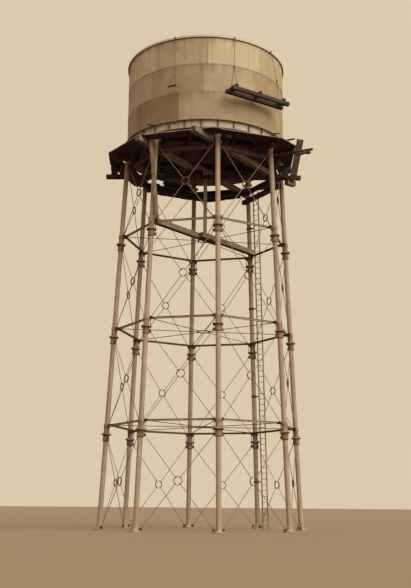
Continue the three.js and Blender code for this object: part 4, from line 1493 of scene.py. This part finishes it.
# Rounds a timber's edges and gives its long faces a slightly uneven surface
def workTimber(shape, edge, unevenness):
    bevelEdges(shape, shape.edges[:], edge)
    longEdges = []
    for line in shape.edges:
        direction = (line.verts[1].co - line.verts[0].co).normalized()
        if abs(direction.z) > timber["longEdge"] and line.calc_length() > timber["cutEvery"]:
            longEdges.append(line)
    if longEdges:
        longest = max(line.calc_length() for line in longEdges)
        cuts = max(1, int(longest / timber["cutEvery"]))
        bmesh.ops.subdivide_edges(shape, edges=longEdges, cuts=cuts, use_grid_fill=True)
    seed = Vector([dice.uniform(0, timber["seedSpread"]) for axis in range(3)])
    for vert in shape.verts:
        shift = noise.noise_vector(vert.co * timber["lumpScale"] + seed) * unevenness
        vert.co += Vector((shift.x, shift.y, 0))
    layGrain(shape)


# A timber that the frame has no solid for
def addTimber(piece, start, end, width, depth, edge=timber["newEdge"], side=upward, tone=0.0):
    shape = boxShape((width, depth, (end - start).length), 0)
    workTimber(shape, edge, timber["newUnevenness"])
    stamp(piece, shape, aimed((start + end) / 2, end - start, side), tone)


def timberPiece(nodeName, edge, unevenness):
    piece = newShape()
    shape = mergedCopy(nodeName)
    place = localFrame(shape)
    settle(shape, place)
    workTimber(shape, edge, unevenness)
    stamp(piece, shape, place, tone=dice.uniform(-timber["toneSpread"], timber["toneSpread"]))
    layer = piece.faces.layers.float["tone"]
    # painted shade on the undersides of some timbers
    for face in piece.faces:
        if face.normal.z < timber["underFace"]:
            face[layer] += timber["underShade"].get(nodeName, 0)
    return piece


paleBeams = ("needle_left_near", "needle_left_far", "needle_right", "cross_block", "diagonal_timber_near",
             "diagonal_timber_far", "centre_post", "leaning_post")
# timbers under the deck take the blackest wood, a painted shade for the shade they hang in
shadeDarkBeams = ("lower_bearer", "needle_block", "rear_ledger", *(f"walkway_bearer_{n}" for n in range(1, 8)))
shadeDarkBoards = ("hanger_left_outer", "hanger_left_inner", "hanger_right", "tall_plank")
for nodeNames, dress, material, slotName in (
    (paleBeams, "beam", paleWood, "pale_timber"),
    (shadeDarkBeams, "beam", blackWoodAndShade, "dark_timber"),
    (shadeDarkBoards, "board", blackWoodAndShade, "dark_timber"),
):
    for nodeName in nodeNames:
        finishPiece("sawn_" + nodeName, timberPiece(nodeName, *timber[dress]), material, [nodeName])


# Walkway deck: boards laid along each side of the octagon, cut to the outline of the solid deck
decking = {
    "bottom": 18.98,
    "plank": 0.05,
    "inner": 4.46,
    "board": 0.235,
    "gap": 0.008,
    "edge": 0.004,
    # painted highlight on the boards' sawn edges and ends
    "edgeHighlight": 10.0,
    "toneSpread": 0.5,
    "trim": 0.001,
}
# Boards hung from the deck's edge on the far side, round one corner of the octagon
skirt = {
    "corners": ((125, 5.2), (170, 5.2), (222, 5.25)),
    "shares": (0.46, 0.69),
    "bottom": 18.64,
    "sag": 0.03,
    "board": 0.19,
    "tones": (-0.6, 0.3),
}
# Spare boards piled on the far side of the deck
boardPile = {
    "heading": -106,
    "aside": 4.5,
    "span": (-1.45, 0.63),
    "width": 0.25,
    "top": 19.43,
    "boards": 8,
    "sideSpread": 0.02,
    "endSpread": 0.12,
    "gap": 0.004,
}


# Cuts away what lies behind a plane and closes the cut
def keepBeyond(shape, point, normal):
    bmesh.ops.bisect_plane(shape, geom=everything(shape), dist=weldReach, plane_co=point, plane_no=normal,
                           clear_inner=True)
    cut = [edge for edge in shape.edges if edge.is_boundary]
    if cut:
        bmesh.ops.holes_fill(shape, edges=cut, sides=0)


# The part of the deck between two distances from the axis on one side of the octagon
def deckStrip(side, out, near, far):
    strip = mergedCopy("walkway_deck")
    low, high = decking["bottom"] + decking["trim"], decking["bottom"] + decking["plank"] - decking["trim"]
    keepBeyond(strip, upward * low, upward)
    keepBeyond(strip, upward * high, -upward)
    keepBeyond(strip, (0, 0, 0), upward.cross(ringPoint(1, side * sideTurn, 0)))
    keepBeyond(strip, (0, 0, 0), -upward.cross(ringPoint(1, (side + 1) * sideTurn, 0)))
    keepBeyond(strip, out * near, out)
    keepBeyond(strip, out * far, -out)
    return strip


# Rounds a deck board and paints a highlight on its sawn edges and ends
def dressBoard(board):
    bmesh.ops.dissolve_limit(board, angle_limit=math.radians(1), verts=board.verts, edges=board.edges)
    bmesh.ops.recalc_face_normals(board, faces=board.faces)
    bevelEdges(board, board.edges[:], decking["edge"])
    layGrain(board, decking["edgeHighlight"])
    toneLayer = board.faces.layers.float["tone"]
    for face in board.faces:
        if abs(face.normal.y) > nearlyAlong:
            face[toneLayer] += decking["edgeHighlight"]


def addDeckBoards(piece):
    lowest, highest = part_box("walkway_deck")
    middle = decking["bottom"] + decking["plank"] / 2
    halfGap, spread = decking["gap"] / 2, decking["toneSpread"]
    reach = max(highest.x, highest.y, -lowest.x, -lowest.y) / math.cos(sideTurn / 2)
    for side in range(tower["columns"]):
        out = ringPoint(1, (side + 0.5) * sideTurn, 0)
        near = decking["inner"] * math.cos(sideTurn / 2)
        while near < reach:
            far = near + decking["board"]
            board = deckStrip(side, out, near + halfGap, far - halfGap)
            near = far
            if len(board.faces) < 4:    # the deck doesn't reach here
                board.free()
                continue
            place = aimed(out * far + upward * middle, upward.cross(out), upward)
            settle(board, place)
            dressBoard(board)
            stamp(piece, board, place, tone=dice.uniform(-spread, spread))


def addSkirt(piece):
    before, corner, after = (ringPoint(radius, math.radians(angle), 0) for angle, radius in skirt["corners"])
    first, last = skirt["shares"]
    for start, end in ((before.lerp(corner, first), corner), (corner, corner.lerp(after, last))):
        along = (end - start).normalized()
        inward = upward.cross(along).normalized()
        count = round((end - start).length / skirt["board"])
        width = (end - start).length / count - decking["gap"]
        for index in range(count):
            centre = start.lerp(end, (index + 0.5) / count) + inward * decking["plank"] / 2
            foot = centre + upward * (skirt["bottom"] + dice.uniform(0, skirt["sag"]))
            addTimber(piece, foot, centre + upward * decking["bottom"], width, decking["plank"],
                      decking["edge"], along, dice.uniform(*skirt["tones"]))


def addPile(piece):
    bottom = decking["bottom"] + decking["plank"]
    thickness = (boardPile["top"] - bottom) / boardPile["boards"]
    heading, spread = boardPile["heading"], boardPile["endSpread"]
    near, far = boardPile["span"]
    for index in range(boardPile["boards"]):
        height = bottom + (index + 0.5) * thickness
        aside = boardPile["aside"] + dice.uniform(-boardPile["sideSpread"], boardPile["sideSpread"])
        start = onLine(heading, near + dice.uniform(0, spread), aside, height)
        end = onLine(heading, far - dice.uniform(0, spread), aside, height)
        addTimber(piece, start, end, boardPile["width"], thickness - boardPile["gap"], decking["edge"],
                  onLine(heading, 0, 1, 0), dice.uniform(-decking["toneSpread"], decking["toneSpread"]))


def deckPiece():
    piece = newShape()
    addDeckBoards(piece)
    addSkirt(piece)
    addPile(piece)
    return piece


finishPiece("walkway_boards", deckPiece(), blackWoodAndShade, ["walkway_deck"])
print("timber made")


# Round poles with a slight taper and knots
poles = {"segments": 20, "cutEvery": 0.16, "taper": 0.82, "knot": 0.005, "knotScale": 4}


def polePiece(nodeName):
    piece = newShape()
    rough = mergedCopy(nodeName)
    place = localFrame(rough)
    settle(rough, place)
    length = max(vert.co.z for vert in rough.verts) * 2
    sideFaces = [face for face in rough.faces if abs(face.normal.z) < 0.5]
    apothem = max(face.calc_center_median().dot(face.normal) for face in sideFaces)
    rough.free()
    shape = rodShape(apothem, length, poles["segments"], apothem * poles["taper"])
    sides = [edge for edge in shape.edges if abs(edge.verts[0].co.z - edge.verts[1].co.z) > length / 2]
    bmesh.ops.subdivide_edges(shape, edges=sides, cuts=int(length / poles["cutEvery"]), use_grid_fill=True)
    seed = Vector((dice.uniform(0, timber["seedSpread"]), 0, 0))
    for vert in shape.verts:
        lump = noise.noise(vert.co * poles["knotScale"] + seed) * poles["knot"]
        vert.co -= Vector((vert.co.x, vert.co.y, 0)).normalized() * max(lump, 0)
    layGrain(shape)
    stamp(piece, shape, place)
    return piece


for nodeName in ("long_pole", "lashed_pole", "short_pole"):
    finishPiece("round_" + nodeName, polePiece(nodeName), darkWood, [nodeName])


# Rope work hung from the rim

ropes = {
    "radius": 0.014,
    "sides": 8,
    "mapScale": (10, 2),
    "turnSides": 6,
    "turnSegments": 28,
    "turnPitch": 0.03,
    "squareTurn": 9,    # how square a turn is bent; 2 is round
    "roundTurn": 2,
}
rimHook = {
    "inner": 4.09,
    "legInner": 0.055,
    "legOuter": 0.034,
    "drop": 0.15,
    "thickness": 0.026,
    "width": 0.05,
    "corner": 0.012,
    "edge": 0.003,
}
hookOuter = tower["tankRadius"] + rim["reach"] + hairGap


def addRope(piece, start, end, radius=ropes["radius"]):
    shape = rodShape(radius, (end - start).length, ropes["sides"])
    layer = shape.loops.layers.uv["grain"]
    alongScale, aroundScale = ropes["mapScale"]
    for face in shape.faces:
        for corner in face.loops:
            co = corner.vert.co
            around = math.atan2(co.y, co.x) / math.tau
            corner[layer].uv = (co.z * alongScale, around * aroundScale)
    stamp(piece, shape, aimed((start + end) / 2, end - start))


# A turn of rope round a timber of this half width and half height, square to an axis
def addTurn(piece, centre, axis, halfWidth, halfHeight, squareness=ropes["roundTurn"]):
    radius, sides = ropes["radius"], ropes["turnSides"]
    turns = [index * math.tau / sides for index in range(sides)]
    circle = [(1 + radius * math.cos(turn), radius * math.sin(turn)) for turn in turns]
    shape = turnedShape(circle, ropes["turnSegments"], closed=True)
    for vert in shape.verts:
        flat = Vector((vert.co.x, vert.co.y))
        turn = flat.normalized()
        square = (abs(turn.x) ** squareness + abs(turn.y) ** squareness) ** (-1 / squareness)
        out = flat.length - 1
        vert.co.x = turn.x * (halfWidth * square + radius + out)
        vert.co.y = turn.y * (halfHeight * square + radius + out)
    isUpright = abs(axis.normalized().z) >= nearlyAlong
    stamp(piece, shape, aimed(centre, axis, rightward if isUpright else axis.cross(upward)))


# Round turns one above another, from a start height over a point, each wider than the last by a step
def addCoil(piece, point, turns, halfWidth, first, pitch=ropes["turnPitch"], wider=0.0):
    for turn in range(turns):
        size = halfWidth + wider * turn
        addTurn(piece, point + upward * (first + turn * pitch), upward, size, size)


def addHook(piece, angle):
    out = ringPoint(1, angle, 0)
    bottom, top = rimTop - rimHook["drop"], rimTop + hairGap
    inner, outer = rimHook["inner"], hookOuter + rimHook["legOuter"]
    high, cut = top + rimHook["thickness"], rimHook["corner"]
    section = [
        (inner, bottom), (inner + rimHook["legInner"], bottom), (inner + rimHook["legInner"], top),
        (hookOuter, top), (hookOuter, bottom), (outer, bottom), (outer, high - cut), (outer - cut, high),
        (inner + cut, high), (inner, high - cut),
    ]
    across = upward.cross(out) * rimHook["width"]
    corners = [out * radius + upward * height - across / 2 for radius, height in section]
    stamp(piece, plateShape(corners, across, rimHook["edge"]))


def ropeEnd(angle):
    return ringPoint(hookOuter + rimHook["legOuter"] / 2, angle, rimTop - rimHook["drop"] / 2)


hungStage = {
    "heading": 65,
    "asides": (4.44, 4.95),
    "span": (-1.72, 1.8),
    "bottom": 21.04,
    "timber": 0.19,
    "crossings": (-1.45, 0.0, 1.5),
    "crossEnds": (4.35, 5.04),
    "crossRise": 0.32,
    "crossWidth": 0.13,
    "toneSpread": 0.5,
    "falls": ((11.5, -1.45), (44, 1.5)),    # hook's angle and the place along the stage
    "knotShare": 0.6,
    "knotTurns": 4,
    "knotHalf": 0.012,
    "lashing": 3,
    "lashingPitch": 0.036,
    "lashingDrop": 0.02,
}


def stageTimberPiece():
    piece = newShape()
    size, heading, spread = hungStage["timber"], hungStage["heading"], hungStage["toneSpread"]
    middle, crossTop = hungStage["bottom"] + size / 2, hungStage["bottom"] + hungStage["crossRise"]
    for aside in hungStage["asides"]:
        start, end = (onLine(heading, along, aside, middle) for along in hungStage["span"])
        addTimber(piece, start, end, size, size, tone=dice.uniform(-spread, spread))
    crossMiddle, crossDepth = (middle + crossTop) / 2, crossTop - middle
    for along in hungStage["crossings"]:
        start, end = (onLine(heading, along, aside, crossMiddle) for aside in hungStage["crossEnds"])
        addTimber(piece, start, end, crossDepth, hungStage["crossWidth"], tone=dice.uniform(-spread, spread))
    return piece


# Rim hooks, falls with a knot, two legs each, and lashings where timbers cross
def stageTacklePiece():
    piece = newShape()
    half, heading, drop = hungStage["timber"] / 2, hungStage["heading"], hungStage["lashingDrop"]
    middle, crossTop = hungStage["bottom"] + half, hungStage["bottom"] + hungStage["crossRise"]
    axis, across = onLine(heading, 1, 0, 0), onLine(heading, 0, 1, 0)
    shifts = [(turn - 1) * hungStage["lashingPitch"] for turn in range(hungStage["lashing"])]
    for hookDegrees, along in hungStage["falls"]:
        angle = math.radians(hookDegrees)
        addHook(piece, angle)
        crossMiddle = onLine(heading, along, sum(hungStage["asides"]) / 2, crossTop)
        knot = ropeEnd(angle).lerp(crossMiddle, hungStage["knotShare"])
        addRope(piece, ropeEnd(angle), knot)
        for aside in hungStage["asides"]:
            seat = onLine(heading, along, aside, crossTop - half)
            timberMiddle = onLine(heading, along, aside, middle)
            addRope(piece, knot, seat)
            for shift in shifts:
                addTurn(piece, timberMiddle + axis * shift, axis, half, half, ropes["squareTurn"])
                addTurn(piece, seat - upward * drop + across * shift, across, hungStage["crossWidth"] / 2,
                        (crossTop - middle) / 2, ropes["squareTurn"])
        knotFoot = -ropes["turnPitch"] * (hungStage["knotTurns"] - 1) / 2
        addCoil(piece, knot, hungStage["knotTurns"], hungStage["knotHalf"], knotFoot)
    return piece


finishPiece("stage_timbers", stageTimberPiece(), blackWoodAndShade, ["hanging_stage"])
finishPiece("stage_tackle", stageTacklePiece(), hempRope)

# A rope from the rim to the deck, with a seat board on four bridle lines
chair = {
    "hookAngle": -30.2,
    "foot": (-2.14, -4.2),
    "height": 21.6,
    "width": 0.45,
    "depth": 0.22,
    "thickness": 0.035,
    "edge": 0.005,
    "shift": 0.17,
    "knotTurns": 3,
    "knotHalf": 0.012,
    "bridle": 0.008,
    "bridleRise": 0.62,
    "bridleMargin": 0.03,
    "bridleDepths": (-0.08, 0.08),
    "coil": 0.03,
    "coilStep": 0.01,
    "coilFoot": -0.008,
    "coilPitch": 0.024,
}


def chairPieces():
    lines, seat = newShape(), newShape()
    angle, thickness = math.radians(chair["hookAngle"]), chair["thickness"]
    out, aside = ringPoint(1, angle, 0), ringPoint(1, angle + math.pi / 2, 0)
    start = ropeEnd(angle)
    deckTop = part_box("walkway_deck")[1].z
    foot = Vector((*chair["foot"], deckTop + ropes["radius"] * 2))
    through = start.lerp(foot, (start.z - chair["height"]) / (start.z - foot.z))
    centre = through - aside * chair["shift"]
    half = chair["width"] / 2
    addHook(lines, angle)
    addRope(lines, start, foot)
    addTimber(seat, centre - aside * half, centre + aside * half, thickness, chair["depth"], chair["edge"])
    addCoil(lines, through, chair["knotTurns"], chair["knotHalf"], ropes["turnPitch"])
    apex = through + upward * chair["bridleRise"]
    for way in (-1, 1):
        for depth in chair["bridleDepths"]:
            reach = aside * way * (half - chair["bridleMargin"])
            addRope(lines, centre + reach + out * depth + upward * thickness / 2, apex, chair["bridle"])
    addCoil(lines, foot, chair["knotTurns"], chair["coil"], chair["coilFoot"], chair["coilPitch"],
            chair["coilStep"])
    return lines, seat


chairLines, chairSeat = chairPieces()
finishPiece("chair_lines", chairLines, hempRope, ["chair_rope"])
finishPiece("chair_seat", chairSeat, paleWood)
print("rope work made")


# Ladder tied to column 4
ladder = {
    "column": 3,
    "offset": 0.34,
    "foot": 0.002,
    "top": 18.6,
    "width": 0.33,
    "rail": (0.045, 0.072, 0.006),
    "railTone": 0.5,
    "rung": 0.015,
    "rungSides": 10,
    "rungTones": (0, 0.6),
    "pitch": 0.305,
    "ties": (2.44, 7.02, 11.89, 16.5),
    "tie": (0.06, 0.06, 0.005),
    "tieTone": -0.2,
    "tieSunk": 0.004,
}


def ladderPiece():
    piece = newShape()
    sideways = ringPoint(1, ladder["column"] * sideTurn - math.pi / 2, 0)
    rails = (ladder["offset"], ladder["offset"] + ladder["width"])

    def railPoint(shift, height):
        return columnPoint(ladder["column"], height) + sideways * shift

    for shift in rails:
        addTimber(piece, railPoint(shift, ladder["foot"]), railPoint(shift, ladder["top"]), *ladder["rail"],
                  sideways, tone=ladder["railTone"])
    for index in range(int(ladder["top"] / ladder["pitch"])):
        height = (index + 0.5) * ladder["pitch"]
        start, end = (railPoint(shift, height) for shift in rails)
        shape = rodShape(ladder["rung"], (end - start).length, ladder["rungSides"])
        layGrain(shape)
        stamp(piece, shape, aimed((start + end) / 2, end - start), tone=dice.uniform(*ladder["rungTones"]))
    tieStart = tower["shaftRadius"] - ladder["tieSunk"]
    for height in ladder["ties"]:
        addTimber(piece, railPoint(tieStart, height), railPoint(ladder["offset"], height), *ladder["tie"],
                  tone=ladder["tieTone"])
    return piece


finishPiece("ladder_rails", ladderPiece(), paleWood, ["ladder"])

# Rope lashings round the poles and round column 4 at the ladder's ties
lashings = {
    "poles": (("long_pole", 0.62, 5), ("lashed_pole", 0.3, 6), ("lashed_pole", 0.8, 6),
              ("short_pole", 0.5, 4)),    # share of the length and turns
    "tieTurns": 4,
}


def lashingPiece():
    piece = newShape()
    pitch = ropes["turnPitch"]
    for nodeName, share, turns in lashings["poles"]:
        low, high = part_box(nodeName)
        rough = mergedCopy(nodeName)
        place = localFrame(rough)
        rough.free()
        axis = place.to_3x3() @ upward
        centre = place.translation + axis * (high - low).length * (share - 0.5)
        radius = (high.z - low.z) / 2
        for turn in range(turns):
            addTurn(piece, centre + axis * (turn - turns / 2) * pitch, axis, radius, radius)
    radius, turns = tower["shaftRadius"], lashings["tieTurns"]
    for height in ladder["ties"]:
        for turn in range(turns):
            level = height + (turn - (turns - 1) / 2) * pitch
            addTurn(piece, columnPoint(ladder["column"], level), upward, radius, radius)
    return piece


finishPiece("lashings", lashingPiece(), hempRope)
print("ladder and lashings made")


# Floor, light and camera

studio = {
    "floorRadius": 400,
    "floorSegments": 64,
    "floor": (0.29, 0.22, 0.122, 1),
    "floorBounce": (0.11, 0.073, 0.046, 1),
    "floorRoughness": 0.95,
    "sky": srgb(219, 203, 172),
    "fill": (0.66, 0.455, 0.385, 1),
    "sunFrom": (0.60, -0.80, 0.80),
    "sunStrength": 2.75,
    "sunColor": (1.0, 0.98, 0.88),
    "sunSoftness": 70,
}


# One colour where the camera sees a surface, another for the light that it gives
def seenColor(tree, given, seen):
    rays = addNode(tree, "LightPath")
    return mixNode(tree, rays.outputs["Is Camera Ray"], given, seen)


# Paper that looks pale but throws back little light
def floorMaterial():
    material, tree, shader = newMaterial("floorPaper")
    link(tree, seenColor(tree, studio["floorBounce"], studio["floor"]), shader.inputs["Base Color"])
    shader.inputs["Roughness"].default_value = studio["floorRoughness"]
    return material


def addFloor():
    ground = bmesh.new()
    bmesh.ops.create_circle(ground, cap_ends=True, segments=studio["floorSegments"],
                            radius=studio["floorRadius"])
    mesh = bpy.data.meshes.new("floor")
    ground.to_mesh(mesh)
    ground.free()
    mesh.materials.append(floorMaterial())
    floor = bpy.data.objects.new("floor", mesh)
    bpy.context.scene.collection.objects.link(floor)


def addLight():
    world = bpy.data.worlds.new("studio")
    bpy.context.scene.world = world
    world.use_nodes = True
    tree = world.node_tree
    link(tree, seenColor(tree, studio["fill"], studio["sky"]), tree.nodes["Background"].inputs["Color"])

    sun = bpy.data.lights.new("keyLight", "SUN")
    sun.energy = studio["sunStrength"]
    sun.angle = math.radians(studio["sunSoftness"])
    sun.color = studio["sunColor"]
    lamp = bpy.data.objects.new("keyLight", sun)
    lamp.matrix_world = Vector(studio["sunFrom"]).to_track_quat("Z", "Y").to_matrix().to_4x4()
    bpy.context.scene.collection.objects.link(lamp)


addFloor()
addLight()
bpy.context.scene.view_settings.view_transform = "Standard"

# Where the camera stands, solved from the column joints: metres, radians and millimetres
viewpoint = {
    "place": (-6.885, -45.999, 1.2),
    "heading": -0.15039,
    "pitch": 0.2263,
    "roll": 0.0084,
    "lens": 56.14,
    "sensor": 36,
    "clipEnd": 1000,
}


def addCamera():
    data = bpy.data.cameras.new("viewpoint")
    data.lens = viewpoint["lens"]
    data.sensor_width = viewpoint["sensor"]
    data.clip_end = viewpoint["clipEnd"]
    eye = bpy.data.objects.new("viewpoint", data)
    bpy.context.scene.collection.objects.link(eye)
    eye.matrix_world = (Matrix.Translation(viewpoint["place"]) @ Matrix.Rotation(viewpoint["heading"], 4, "Z")
                        @ Matrix.Rotation(math.pi / 2 + viewpoint["pitch"], 4, "X")
                        @ Matrix.Rotation(viewpoint["roll"], 4, "Z"))
    bpy.context.scene.camera = eye


addCamera()
bpy.context.view_layer.update()
